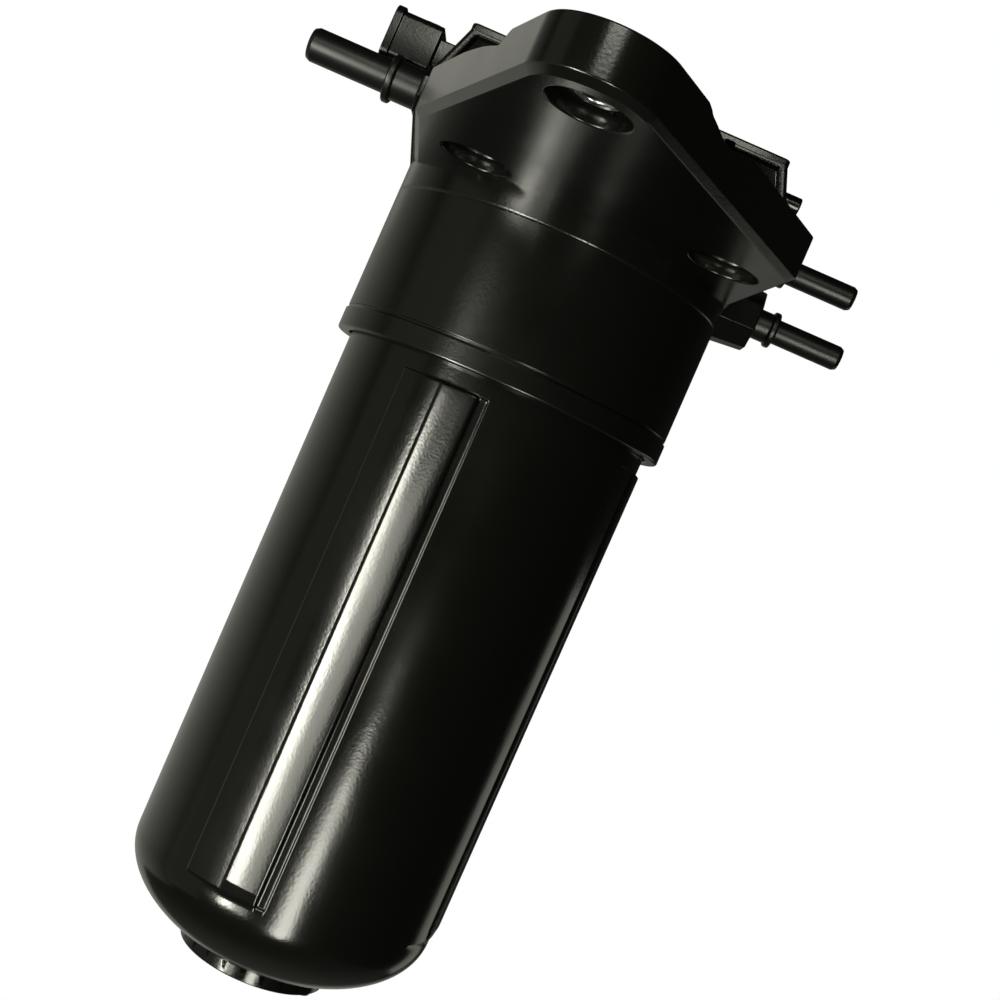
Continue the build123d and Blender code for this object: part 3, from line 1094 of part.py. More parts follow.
def element_bottom_cap():
    """The element's closed lower cap, standing on four feet."""
    z0 = ELEMENT_BOTTOM_Z
    lip = PLEAT_OUTER_R + SEAT
    cap = turned([
        (0, z0), (ELEMENT_R - CAP_LIP_T, z0), (ELEMENT_R, z0 + CAP_LIP_T), (ELEMENT_R, z0 + CAP_T + CAP_LIP_L),
        (lip, z0 + CAP_T + CAP_LIP_L), (lip, z0 + CAP_T), (0, z0 + CAP_T)])
    floor = DRAIN_FLOOR_Z + CANISTER_WALL
    for turn in range(45, 360, 90):
        cap += Rot(0, 0, turn) * Pos(FOOT_AT_R, 0, 0) * rod(FOOT_R, floor, z0 + PAST)
    return CANISTER_AXIS * cap


PIECES = [
    mounting_flange, filter_collar, filter_spigot, pump_chamber, pump_cover, cover_seal, cover_screws,
    bolt_sleeves, inlet_stem, outlet_stem, return_stem, stem_seals, connector_shell,
    connector_terminals, motor_leads, motor_can, field_magnets, motor_isolators, brush_holder,
    carbon_brushes, brush_springs, motor_bushes, pump_base_plate, pump_inlet_cover, outlet_link_seal,
    valve_seat, valve_spring, neck_seal, motor_shaft, armature_core, armature_windings, commutator,
    impeller, valve_poppet, canister_shell, element_top_cap, element_seal, element_core, filter_media,
    element_bottom_cap, drain_tap, drain_seal,
]

os.makedirs("parts", exist_ok=True)
for piece in PIECES:
    made = piece()
    solids = made if isinstance(made, list) else [made]
    bodies = [solid for item in solids for solid in item.solids()]
    export_step(Compound(bodies) if len(bodies) > 1 else bodies[0], f"parts/{piece.__name__}.step")
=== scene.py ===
"""Looks of an electric fuel feed pump with a filter canister.

Sizes are in millimetres, in the frame of the mounting face: +Z out of the face, the canister hangs
along -Z and the flange reaches forward along -Y. Meshes are turned into metres when they are made.
"""

from __future__ import annotations

import json
import logging
import math
from dataclasses import dataclass, field
from enum import Enum

import bmesh
import bpy
import numpy as np
from mathutils import Matrix, Vector
from mathutils.geometry import tessellate_polygon

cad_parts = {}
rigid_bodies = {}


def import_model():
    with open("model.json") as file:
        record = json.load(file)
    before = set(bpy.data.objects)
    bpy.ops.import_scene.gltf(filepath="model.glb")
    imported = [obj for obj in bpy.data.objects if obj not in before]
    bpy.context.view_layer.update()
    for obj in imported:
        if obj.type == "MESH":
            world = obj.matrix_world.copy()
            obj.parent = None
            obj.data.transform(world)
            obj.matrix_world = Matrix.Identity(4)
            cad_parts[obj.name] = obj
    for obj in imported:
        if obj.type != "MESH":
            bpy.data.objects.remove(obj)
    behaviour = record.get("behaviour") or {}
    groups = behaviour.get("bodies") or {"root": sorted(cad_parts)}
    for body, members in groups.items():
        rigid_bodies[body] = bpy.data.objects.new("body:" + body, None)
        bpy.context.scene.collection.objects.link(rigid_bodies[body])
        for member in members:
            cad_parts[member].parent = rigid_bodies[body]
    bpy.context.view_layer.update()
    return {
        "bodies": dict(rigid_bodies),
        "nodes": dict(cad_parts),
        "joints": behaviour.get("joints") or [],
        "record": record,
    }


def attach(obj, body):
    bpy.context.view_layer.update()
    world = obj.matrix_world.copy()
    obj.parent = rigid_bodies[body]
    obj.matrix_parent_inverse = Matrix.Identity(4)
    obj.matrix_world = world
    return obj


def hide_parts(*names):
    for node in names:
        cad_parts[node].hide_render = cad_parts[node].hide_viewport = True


MM = 0.001
LOG = logging.getLogger("fuel_pump")

Pair = tuple[float, float]
Triple = tuple[float, float, float]
Material = bpy.types.Material
Node = bpy.types.Node
Object = bpy.types.Object
Socket = bpy.types.NodeSocket


class Body(Enum):
    """The rigid bodies that pieces move with."""

    HEAD = "head"
    CANISTER = "canister"
    DRAIN = "drain"


class Slot(Enum):
    """The material slots of the record."""

    HEAD = "head_plastic"
    STEM = "stem_plastic"
    CANISTER = "canister_plastic"
    STEEL = "steel"


# Curves and grids


def rounded(points: list[Pair], radii: list[float], steps: int = 6,
            support: float = 0.12) -> np.ndarray:
    """Round the corners of an open profile.

    Each inner corner becomes an arc tangent to its two sides: the arc starts radius times the
    tangent of half the turn before the corner, and its points lie at equal angles round its centre.
    A support point just before and after each arc keeps the flats beside it flat in shading.

    Args:
        points: The profile's corners in order.
        radii: One radius for each inner corner, 0 for a sharp one.
        steps: Segments in each arc.
        support: Distance of the support points from the arc.

    Returns:
        An array of points, one row each.
    """
    corners = np.array(points, float)
    out = [corners[0]]
    for before, corner, after, radius in zip(corners, corners[1:], corners[2:], radii):
        into = (corner - before) / np.linalg.norm(corner - before)
        away = (after - corner) / np.linalg.norm(after - corner)
        turn = math.acos(float(np.clip(into @ away, -1.0, 1.0)))
        if radius <= 0 or turn < 1e-3:
            out.append(corner)
            continue
        back = radius * math.tan(turn / 2)
        start, end = corner - into * back, corner + away * back
        inward = away - into
        centre = corner + inward / np.linalg.norm(inward) * radius / math.cos(turn / 2)
        share = np.linspace(0, 1, steps + 1)[:, None]
        arm_a, arm_b = start - centre, end - centre
        arc = centre + (np.sin((1 - share) * turn) * arm_a + np.sin(share * turn) * arm_b) / math.sin(turn)
        out.extend([start - into * support, *arc, end + away * support])
    out.append(corners[-1])
    return np.array(out)


def lathe(profile: np.ndarray, segments: int) -> np.ndarray:
    """Turn a profile of (radius, height) about the local Z axis.

    A point of the surface is (r cos a, r sin a, h), for each angle a and each profile point (r, h).

    Args:
        profile: Rows of radius and height.
        segments: Columns round the axis.

    Returns:
        A grid of points, profile rows by angle columns, to be wrapped.
    """
    angles = np.radians(np.linspace(0, 360.0, segments, endpoint=False))
    return turned(profile[:, :1], angles, profile[:, 1:])


def turned(radius: np.ndarray, angles: np.ndarray, height: np.ndarray) -> np.ndarray:
    """Place points at (r cos a, r sin a, h), with the three arrays spread over each other."""
    x = radius * np.cos(angles)
    return np.stack([x, radius * np.sin(angles), np.broadcast_to(height, x.shape)], axis=-1)


def at_heights(plan: np.ndarray, heights: np.ndarray) -> np.ndarray:
    """Join a grid of (x, y) with its heights, given by row or by point."""
    return np.concatenate([plan, np.broadcast_to(heights, plan.shape[:2])[..., None]], axis=-1)


def ring(centre: Pair, radius: float, segments: int) -> np.ndarray:
    """Points round a level circle, anticlockwise."""
    turns = np.linspace(0, 2 * math.pi, segments, endpoint=False)
    return np.array(centre) + radius * np.column_stack([np.cos(turns), np.sin(turns)])


def soft_band(value: np.ndarray, low: np.ndarray | float, high: np.ndarray | float,
              blend: float) -> np.ndarray:
    """One between two limits and nothing outside them, with steps of hyperbolic tangents."""
    return (np.tanh((value - low) / blend) - np.tanh((value - high) / blend)) / 2


def rounded_rectangle(x0: np.ndarray, x1: np.ndarray, y0: float, y1: float, radius: float,
                      arc_steps: int, fronts: np.ndarray) -> np.ndarray:
    """Walk anticlockwise round a rectangle with round corners, once for each row.

    The front side is sampled at the given places, and each corner is a quarter arc of its radius.

    Args:
        x0: Left side of each row.
        x1: Right side of each row.
        y0: Front side.
        y1: Back side.
        radius: Radius of the corners.
        arc_steps: Segments in each corner.
        fronts: Places along the front, as x values, between the corners; one row for all, or one each.

    Returns:
        A grid of (x, y) points, rows by columns, to be wrapped.
    """
    rows = len(x0)
    quarter = np.linspace(0, math.pi / 2, arc_steps + 1)
    parts = []
    ends = [(x0, y0, math.pi, 1, 1), (x1, y0, 1.5 * math.pi, -1, 1), (x1, y1, 0.0, -1, -1),
            (x0, y1, 0.5 * math.pi, 1, -1)]
    for index, (x, y, first, sx, sy) in enumerate(ends):
        turn = first + quarter
        px = x[:, None] + sx * radius + radius * np.cos(turn)[None, :]
        py = np.full((rows, 1), y + sy * radius) + radius * np.sin(turn)[None, :]
        parts.append(np.stack([px, py], axis=-1))
        if index == 0:
            px = np.broadcast_to(fronts, (rows, fronts.shape[-1]))
            parts.append(np.stack([px, np.full_like(px, y0)], axis=-1))
    return np.concatenate(parts, axis=1)


@dataclass(frozen=True)
class Place:
    """A local frame: an origin and the direction of its Z axis, in millimetres."""

    origin: Triple
    axis: Triple = (0.0, 0.0, 1.0)

    def matrix(self) -> np.ndarray:
        """The 4 by 4 matrix from local to object space."""
        tilt = Vector(self.axis).to_track_quat("Z", "Y").to_matrix().to_4x4()
        return np.array(Matrix.Translation(self.origin) @ tilt)

    def apply(self, points: np.ndarray) -> np.ndarray:
        """Move local points of any shape (..., 3) to object space."""
        matrix = self.matrix()
        return points @ matrix[:3, :3].T + matrix[:3, 3]


class Shell:
    """Gathers grids and flat faces, and makes them one mesh."""

    def __init__(self, name: str) -> None:
        """Start an empty shell with the name of its piece.

        Args:
            name: The piece's name.
        """
        self.name = name
        self.points: list[np.ndarray] = []
        self.faces: list[list[int]] = []
        self.smooth: list[bool] = []
        self.count = 0

    def add_grid(self, grid: np.ndarray, wrap: bool = True, wrap_rows: bool = False, inside: bool = False,
                 place: Place | None = None) -> None:
        """Add a grid of quads, facing away from its own middle.

        Args:
            grid: Points, rows by columns by 3.
            wrap: Join the last column to the first.
            wrap_rows: Join the last row to the first.
            inside: Face towards the middle instead, as the wall of a bore does.
            place: Local frame of the points, if they are not in object space.
        """
        rows, columns = grid.shape[:2]
        row = np.arange(rows if wrap_rows else rows - 1)
        column = np.arange(columns if wrap else columns - 1)
        i, j = (m.ravel() for m in np.meshgrid(row, column, indexing="ij"))
        up, side = (i + 1) % rows, (j + 1) % columns
        quads = np.stack([i * columns + j, i * columns + side, up * columns + side, up * columns + j], axis=1)
        flat = grid.reshape(-1, 3)
        corner = flat[quads]
        normal = np.cross(corner[:, 2] - corner[:, 0], corner[:, 3] - corner[:, 1])
        outward = float(np.sum(normal * (corner.mean(axis=1) - flat.mean(axis=0))))
        if (outward < 0) != inside:
            quads = quads[:, ::-1]
        self._store(place.apply(flat) if place else flat, quads.tolist(), True)

    def add_flat(self, outline: np.ndarray, holes: list[np.ndarray], height: float, up: bool) -> None:
        """Add a level face with holes.

        Args:
            outline: (x, y) points round the face.
            holes: (x, y) points round each hole.
            height: Height of the face.
            up: Whether it faces up.
        """
        loops = [outline, *holes]
        flat = np.concatenate(loops)
        points = np.column_stack([flat, np.full(len(flat), height)])
        triangles = tessellate_polygon([[Vector((x, y, 0)) for x, y in loop] for loop in loops])
        faces = []
        for a, b, c in triangles:
            cross = np.cross(flat[b] - flat[a], flat[c] - flat[a])
            if abs(cross) > 1e-9:
                faces.append([a, b, c] if (cross > 0) == up else [a, c, b])
        self._store(points, faces, False)

    def _store(self, points: np.ndarray, faces: list[list[int]], smooth: bool) -> None:
        """Keep points and faces, with the faces numbered on from what is there.

        Args:
            points: Points, one row each.
            faces: Corners of each face, numbered within these points.
            smooth: Whether the faces are shaded smooth.
        """
        self.points.append(points)
        self.faces.extend([[index + self.count for index in face] for face in faces])
        self.smooth.extend([smooth] * len(faces))
        self.count += len(points)

    def build(self) -> Object:
        """Make the mesh object, in metres, with its seams and poles closed.

        Returns:
            The object, in the scene's collection.
        """
        mesh = bpy.data.meshes.new(self.name)
        mesh.from_pydata((np.concatenate(self.points) * MM).tolist(), [], self.faces)
        mesh.polygons.foreach_set("use_smooth", self.smooth)
        work = bmesh.new()
        work.from_mesh(mesh)
        bmesh.ops.remove_doubles(work, verts=work.verts, dist=2e-7)
        bmesh.ops.dissolve_degenerate(work, edges=work.edges, dist=1e-8)
        work.to_mesh(mesh)
        work.free()
        piece = bpy.data.objects.new(self.name, mesh)
        bpy.context.scene.collection.objects.link(piece)
        return piece


def dress(piece: Object, material: Material, *replaced: str, body: Body = Body.HEAD,
          slot: Slot = Slot.HEAD) -> None:
    """Give a piece its material and say what it moves with and stands for.

    Args:
        piece: The piece.
        material: Its material.
        replaced: The CAD nodes that it stands for.
        body: The body that it moves with.
        slot: The slot that its finish comes from; not used.
    """
    piece.data.materials.clear()
    piece.data.materials.append(material)
    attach(piece, body.value)
    if replaced:
        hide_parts(*replaced)
    LOG.info("%s: %d faces", piece.name, len(piece.data.polygons))


# Finishes


class Graph:
    """The node tree of a material or of the world."""

    def __init__(self, tree: bpy.types.NodeTree) -> None:
        """Start from the nodes that the tree comes with."""
        self.nodes = tree.nodes
        self.links = tree.links

    def add(self, kind: str, inputs: dict[str | int, object], **options: object) -> Node:
        """Add a node.

        Args:
            kind: The node's type, without its common prefix.
            inputs: What goes into each input: an output to link, or a value to set.
            options: The node's own settings.

        Returns:
            The new node.
        """
        node = self.nodes.new("ShaderNode" + kind)
        for name, value in options.items():
            setattr(node, name, value)
        self.feed(node, inputs)
        return node

    def feed(self, node: Node, inputs: dict[str | int, object]) -> None:
        """Link or set inputs of a node.

        Args:
            node: The node.
            inputs: What goes into each input: an output to link, or a value to set.
        """
        for name, value in inputs.items():
            if isinstance(value, Socket):
                self.links.new(value, node.inputs[name])
            else:
                node.inputs[name].default_value = value

    def where(self) -> Socket:
        """The place on the object."""
        return self.add("TexCoord", {}).outputs["Object"]

    def noise(self, where: Socket, scale: float, detail: float) -> Socket:
        """Noise of a given scale at the given coordinates."""
        return self.add("TexNoise", {"Vector": where, "Scale": scale, "Detail": detail}).outputs["Fac"]

    def spread(self, value: Socket, low: float, high: float) -> Socket:
        """Spread the middle of a noise over a range."""
        limits = {"From Min": 0.3, "From Max": 0.7, "To Min": low, "To Max": high}
        return self.add("MapRange", {"Value": value, **limits}).outputs["Result"]

    def tone(self, value: Socket, colour: Triple, dark: float) -> Socket:
        """A colour that varies between itself and a darker share of itself."""
        ends = {"A": (*[c * dark for c in colour], 1.0), "B": (*colour, 1.0)}
        return self.add("Mix", {"Factor": value, **ends}, data_type="RGBA").outputs["Result"]

    def bump(self, height: Socket, depth: float, under: Socket | None = None) -> Socket:
        """A bump of a given depth in metres, on top of another one where given.

        Args:
            height: Height as a share of the depth.
            depth: Depth in metres.
            under: Normal of the bump below, if there is one.

        Returns:
            The bumped normal.
        """
        node = self.add("Bump", {"Strength": 1.0, "Distance": depth, "Height": height})
        if under is not None:
            self.feed(node, {"Normal": under})
        return node.outputs["Normal"]


def start_material(name: str) -> tuple[Material, Graph, Node]:
    """Make a node material with one shader.

    Args:
        name: The material's name.

    Returns:
        The material, its node tree and its shader.
    """
    made = bpy.data.materials.new(name)
    made.use_nodes = True
    graph = Graph(made.node_tree)
    return made, graph, graph.nodes["Principled BSDF"]


@dataclass(frozen=True)
class Moulding:
    """Black moulded plastic: a fine grain, faint flow waves and a slight change of gloss.

    Noises are given by scale and detail.
    """

    name: str
    colour: Triple = (0.0025, 0.0026, 0.0021)
    roughness: float = 0.21
    roughness_spread: float = 0.07
    cloud: Pair = (38.0, 4.0)
    grain: Pair = (1400.0, 2.0)
    grain_depth: float = 0.00002
    wave: Pair = (55.0, 1.0)
    wave_depth: float = 0.00012

    def material(self) -> Material:
        """Build the node material.

        Returns:
            The material.
        """
        made, graph, shader = start_material(self.name)
        where = graph.where()
        half = self.roughness_spread / 2
        gloss = graph.spread(graph.noise(where, *self.cloud), self.roughness - half, self.roughness + half)
        wave = graph.bump(graph.noise(where, *self.wave), self.wave_depth)
        grain = graph.bump(graph.noise(where, *self.grain), self.grain_depth, wave)
        graph.feed(shader, {"Base Color": (*self.colour, 1.0), "Roughness": gloss, "Normal": grain})
        return made


@dataclass(frozen=True)
class Plain:
    """Rubber, paper, carbon and inner plastics: a mottled matte surface with a fine grain.

    Noises are given by scale and detail, and the spread of the gloss by how far it reaches below
    and above the roughness.
    """

    name: str
    colour: Triple
    roughness: float = 0.6
    metallic: float = 0.0
    cloud: Pair = (120.0, 4.0)
    dark: float = 0.8
    roughness_spread: Pair = (0.06, 0.1)
    grain: Pair = (700.0, 3.0)
    grain_depth: float = 0.00004

    def material(self) -> Material:
        """Build the node material.

        Returns:
            The material.
        """
        made, graph, shader = start_material(self.name)
        where = graph.where()
        cloud = graph.noise(where, *self.cloud)
        below, above = self.roughness_spread
        graph.feed(shader, {
            "Metallic": self.metallic,
            "Base Color": graph.tone(cloud, self.colour, self.dark),
            "Roughness": graph.spread(cloud, self.roughness - below, self.roughness + above),
            "Normal": graph.bump(graph.noise(where, *self.grain), self.grain_depth)})
        return made


@dataclass(frozen=True)
class Metal(Plain):
    """Plated or turned metal with faint turning marks and stains."""

    roughness: float = 0.3
    metallic: float = 1.0
    cloud: Pair = (160.0, 5.0)
    dark: float = 0.75
    roughness_spread: Pair = (0.08, 0.12)
    grain: Pair = (900.0, 2.0)
    grain_depth: float = 0.00002


# The canister


@dataclass
class Canister:
    """The filter canister with its strips, domed foot and drain ring."""

    centre: Pair = (-3.5, 75.0)
    top_r: float = 43.3
    foot_r: float = 42.5
    shoulder_z: float = -54.0
    neck_r: float = 40.9
    neck_wall: float = 2.0
    top_z: float = -30.0
    edge_z: float = -201.7
    dome_h: float = 23.2
    ring_r: float = 20.8
    ring_wall: float = 1.5
    ring_z: float = -225.2
    floor_z: float = -221.0
    bore_r: float = 5.3
    strip_top_z: float = -63.5
    strip_foot_z: float = -199.5
    strip_bevel: float = 3.5
    repeats: int = 4
    raised: Pair = (-16.8, -3.7)
    raised_h: float = 1.0
    panel: Pair = (-31.5, -16.8)
    panel_h: float = 0.3
    gutter: Pair = (-3.7, -0.3)
    gutter_depth: float = 0.6
    edge_blend: float = 0.16
    step_blend: float = 0.12
    bevel_loss: float = 0.62
    even_deg: float = 2.5
    seam_deg: float = 15.0

    def azimuths(self) -> np.ndarray:
        """Angles round the canister from the front, close together beside every strip's edges.

        Returns:
            The angles in degrees, in rising order.
        """
        lines = sorted({*self.raised, *self.panel, *self.gutter})
        near = np.array([-2.2, -1.1, -0.5, -0.16, 0.0, 0.16, 0.5, 1.1, 2.2])
        pitch = 360.0 / self.repeats
        close = np.concatenate([line + near + pitch * turn for line in lines for turn in range(self.repeats)])
        even = np.arange(0.0, 360.0, self.even_deg)
        angles = np.unique(np.round(np.concatenate([close, even]) % 360.0, 3))
        return angles[np.append(np.diff(angles) > 0.05, True)]

    def relief(self, azimuth: np.ndarray) -> tuple[np.ndarray, np.ndarray]:
        """Height of the strips at each azimuth.

        The angle is taken within one repeat, with the seam between repeats clear of every strip.

        Args:
            azimuth: Degrees to the right of the front.

        Returns:
            The height of the raised strip alone, and of the panel and gutter.
        """
        pitch = 360.0 / self.repeats
        shift = pitch / 2 + self.seam_deg
        local = (azimuth + shift) % pitch - shift
        raised, panel, gutter = (
            soft_band(local, *limits, self.edge_blend) for limits in (self.raised, self.panel, self.gutter))
        return self.raised_h * raised, self.panel_h * panel - self.gutter_depth * gutter

    def side(self) -> np.ndarray:
        """The side wall and dome as a grid.

        Down the side the radius falls evenly from the shoulder to the edge; below it the dome is a
        quarter ellipse, with the radius the cosine and the drop the sine of the same angle. The
        strips' height is added to the radius between their top and their bevelled foot.

        Returns:
            A grid of points, rows from the shoulder down by angle columns, to be wrapped.
        """
        azimuth = self.azimuths()
        raised, low = self.relief(azimuth)
        top = self.strip_top_z
        foot = self.strip_foot_z
        near = np.array([-0.7, -0.25, -0.08, 0.08, 0.25, 0.7])
        bevel = foot + self.strip_bevel
        heights = np.concatenate([
            [self.shoulder_z - 1.5, self.shoulder_z - 3.0], top + near, np.linspace(top - 3, bevel + 2, 30),
            bevel + near, foot + near + 0.7, [self.edge_z + 0.9, self.edge_z + 0.3, self.edge_z + 0.05]])
        heights = np.sort(heights)[::-1]
        share = (self.shoulder_z - heights) / (self.shoulder_z - self.edge_z)
        radius = self.top_r + (self.foot_r - self.top_r) * share
        step_top = (1 - np.tanh((heights - top) / self.step_blend)) / 2
        step_foot = (1 + np.tanh((heights - foot - 0.4) / self.step_blend)) / 2
        slope = np.clip(1 - (bevel - heights) / self.strip_bevel * self.bevel_loss, 1 - self.bevel_loss, 1.0)
        on = (step_top * step_foot)[:, None]
        side_r = radius[:, None] + on * (slope[:, None] * raised[None, :] + low[None, :])
        last = math.asin((self.edge_z - self.dome_foot_z()) / self.dome_h)
        turn = np.concatenate([[0.012, 0.05], np.linspace(0.1, last, 26)])
        dome_r = np.broadcast_to((self.foot_r * np.cos(turn))[:, None], (len(turn), len(azimuth)))
        dome_z = self.edge_z - self.dome_h * np.sin(turn)
        radii = np.concatenate([side_r, dome_r])
        z = np.concatenate([heights, dome_z])
        return turned(radii, np.radians(azimuth - 90.0), z[:, None])

    def dome_foot_z(self) -> float:
        """Height at which the dome meets the drain ring."""
        return self.edge_z - self.dome_h * math.sqrt(1 - (self.ring_r / self.foot_r) ** 2)

    def build(self, material: Material) -> None:
        """Make the canister's skin.

        Args:
            material: Its material.
        """
        place = Place((*self.centre, 0.0))
        shell = Shell("canister_skin")
        shell.add_grid(self.side(), place=place)
        neck = rounded([
            (self.neck_r - self.neck_wall, self.shoulder_z), (self.neck_r - self.neck_wall, self.top_z),
            (self.neck_r, self.top_z), (self.neck_r, self.shoulder_z), (self.top_r, self.shoulder_z),
            (self.top_r, self.shoulder_z - 1.5)], [0.4, 0.4, 0.4, 0.8])
        shell.add_grid(lathe(neck, 120), place=place)
        foot_z = self.dome_foot_z()
        inner = self.ring_r - self.ring_wall
        foot = rounded([
            (self.ring_r, foot_z), (self.ring_r, self.ring_z), (inner, self.ring_z), (inner, self.floor_z),
            (self.bore_r, self.floor_z), (self.bore_r, self.floor_z + 2.3)], [0.35, 0.35, 0.3, 0.2])
        shell.add_grid(lathe(foot, 120), place=place)
        dress(shell.build(), material, "canister_shell", body=Body.CANISTER, slot=Slot.CANISTER)


# The drain tap


@dataclass
class DrainTap:
    """The tap sunk in the drain ring, with a finger bar and a small slit spout."""

    centre: Pair = (-3.5, 75.0)
    radius: float = 18.9
    top_z: float = -221.3
    thickness: float = 3.0
    grip_w: float = 4.0
    dish: float = 1.8
    spout_at: float = 15.2
    spout_r: float = 3.4
    spout_z: float = -228.8
    slit: float = 1.1

    def build(self, material: Material) -> None:
        """Make the tap's disc, its grip and its spout.

        Args:
            material: Its material.
        """
        place = Place((*self.centre, 0.0))
        low = self.top_z - self.thickness
        shell = Shell("drain_tap_skin")
        inner = self.radius - 2.0
        disc = rounded([
            (0.01, low + self.dish), (inner, low + self.dish), (inner, low), (self.radius, low),
            (self.radius, self.top_z), (0.01, self.top_z)], [0.4, 0.4, 0.5, 0.3])
        shell.add_grid(lathe(disc, 96), place=place)
        bar = rounded([
            (-self.grip_w / 2, low + self.dish), (-self.grip_w / 2, low), (self.grip_w / 2, low),
            (self.grip_w / 2, low + self.dish)], [0.6, 0.6])
        along = np.array([[-inner, -inner + 0.2, inner - 0.2, inner]])
        grid = np.broadcast_arrays(along, bar[:, :1], bar[:, 1:2])
        shell.add_grid(np.stack(grid, axis=-1), wrap=False, place=place)
        column = rounded([
            (0.01, self.spout_z), (self.spout_r, self.spout_z), (self.spout_r, low + 1.0), (0.01, low + 1.0)],
            [0.5, 0.0])
        for side in (1, -1):
            half = lathe(column, 48)
            half[..., 0] = side * np.maximum(side * half[..., 0], self.slit / 2)
            half[..., 0] -= self.spout_at
            shell.add_grid(half, place=place)
        dress(shell.build(), material, "drain_tap", body=Body.DRAIN, slot=Slot.CANISTER)


# The head


@dataclass
class Flange:
    """The three-bolt flange: rounded edge band, underside with recesses, ribbed top."""

    thickness: float = 12.1
    bolts: tuple[Pair, ...] = ((-5.5, -51.0), (-29.5, 25.5), (35.0, 25.5))
    lobe_r: float = 15.0
    left_corner: Pair = (-45.0, 9.0)
    right_corner: Pair = (50.5, 12.0)
    corner_r: float = 2.5
    left_end: Pair = (-49.5, 75.0)
    right_end: Pair = (43.6, 75.0)
    back: float = 66.0
    low_edge: float = 1.6
    top_edge: float = 0.5
    rim: float = 3.0
    relief_w: float = 2.0
    relief_depth: float = 0.5
    pocket: float = 9.0
    recess_r: float = 9.0
    recess_depth: float = 4.0
    boss_r: float = 11.0
    sleeve_r: float = 6.25
    bore_r: float = 4.25
    rib: float = 2.4
    pitch: float = 22.0
    ribs_each_way: int = 3
    wall_steps: int = 120
    side_steps: int = 8
    lobe_points: int = 42
    corner_points: int = 10
    left_dip: tuple[Pair, ...] = (
        (0.26, 0.0), (0.285, 1.0), (0.305, 2.1), (0.325, 2.7), (0.35, 2.5), (0.40, 1.9), (0.49, 1.0),
        (0.585, 0.45), (0.69, 0.0))
    right_dip: tuple[Pair, ...] = (
        (0.175, 0.0), (0.20, 0.6), (0.21, 1.1), (0.25, 1.7), (0.30, 2.6), (0.34, 2.85), (0.37, 2.6),
        (0.40, 2.0), (0.44, 1.1), (0.49, 0.0))

    def outline(self) -> tuple[np.ndarray, np.ndarray]:
        """The flange's edge seen from above, as points and outward normals.

        The edge is a belt round circles: a straight stretch between two circles touches both, so its
        outward normal has a share of their radius difference over their distance along the line that
        joins them. Each circle is followed from the normal of one stretch to that of the next.

        Returns:
            Points and unit normals, from the left end round the front to the right end.
        """
        circles = [
            (np.array(self.left_end), 0.0),
            (self._corner_centre(self.left_corner, self.left_end), self.corner_r),
            (np.array(self.bolts[0]), self.lobe_r),
            (self._corner_centre(self.right_corner, self.right_end), self.corner_r),
            (np.array(self.right_end), 0.0)]
        normals = []
        for (a, ra), (b, rb) in zip(circles, circles[1:]):
            gap = b - a
            length = np.linalg.norm(gap)
            along = gap / length
            across = np.array([along[1], -along[0]])
            share = (ra - rb) / length
            normals.append(along * share + across * math.sqrt(1 - share ** 2))
        points, directions = [], []
        for index, normal in enumerate(normals):
            (a, ra), (b, rb) = circles[index], circles[index + 1]
            start, end = a + ra * normal, b + rb * normal
            step = self.back - self.relief_w + np.array([-0.12, 0.12])
            beside = (step - start[1]) / (end[1] - start[1])
            even = np.linspace(0, 1, 1 + (self.wall_steps if index in (1, 2) else self.side_steps))
            share = np.unique(np.append(even, beside[(beside > 0) & (beside < 1)]))[:, None]
            points.append(start * (1 - share) + end * share)
            directions.append(np.broadcast_to(normal, (len(share), 2)))
            if index + 1 < len(normals):
                first = math.atan2(normal[1], normal[0])
                last = math.atan2(normals[index + 1][1], normals[index + 1][0])
                count = self.lobe_points if index == 1 else self.corner_points
                turn = first + (last - first) % (2 * math.pi) * np.linspace(0, 1, count)[1:-1]
                arc = np.column_stack([np.cos(turn), np.sin(turn)])
                points.append(b + rb * arc)
                directions.append(arc)
        return np.concatenate(points), np.concatenate(directions)

    def _corner_centre(self, corner: Pair, end: Pair) -> np.ndarray:
        """Centre of the circle that rounds a corner, on the corner's bisector.

        Args:
            corner: (x, y) where the two walls' lines meet.
            end: (x, y) of the side wall's far end.

        Returns:
            (x, y) of the circle's centre.
        """
        point = np.array(corner)
        to_end = np.array(end) - point
        to_touch = self._touch(corner, -1 if corner[0] > 0 else 1) - point
        to_end, to_touch = (arm / np.linalg.norm(arm) for arm in (to_end, to_touch))
        middle = to_end + to_touch
        middle /= np.linalg.norm(middle)
        half = math.acos(float(np.clip(to_end @ to_touch, -1, 1))) / 2
        return point + middle * self.corner_r / math.sin(half)

    def _touch(self, corner: Pair, side: int) -> np.ndarray:
        """Where the line from a corner touches the front lobe; side is 1 on the left and -1 on the right.

        Args:
            corner: (x, y) that the line starts from.
            side: 1 on the left and -1 on the right.

        Returns:
            (x, y) where it touches.
        """
        lobe = np.array(self.bolts[0])
        gap = np.array(corner) - lobe
        turn = math.atan2(gap[1], gap[0]) + side * math.acos(self.lobe_r / math.hypot(*gap))
        return lobe + self.lobe_r * np.array([math.cos(turn), math.sin(turn)])

    def dip(self, points: np.ndarray) -> np.ndarray:
        """Depth of the dips in the top edges of the two front walls at each point.

        Each is steep beside the lobe and gentler towards the corner, and is given by its depths
        at shares of the wall's length.

        Args:
            points: (x, y) points, one row each.

        Returns:
            The depth at each point.
        """
        depth = np.zeros(len(points))
        walls = ((self.left_corner, 1, self.left_dip), (self.right_corner, -1, self.right_dip))
        for corner, side, table in walls:
            start, end = self._touch(corner, side), np.array(corner)
            along = np.linalg.norm(points - start, axis=1) / np.linalg.norm(end - start)
            on_wall = (side * (points[:, 0] - start[0]) < 0) & (points[:, 1] < end[1])
            depth += np.interp(along, *np.array(table).T) * on_wall
        return depth

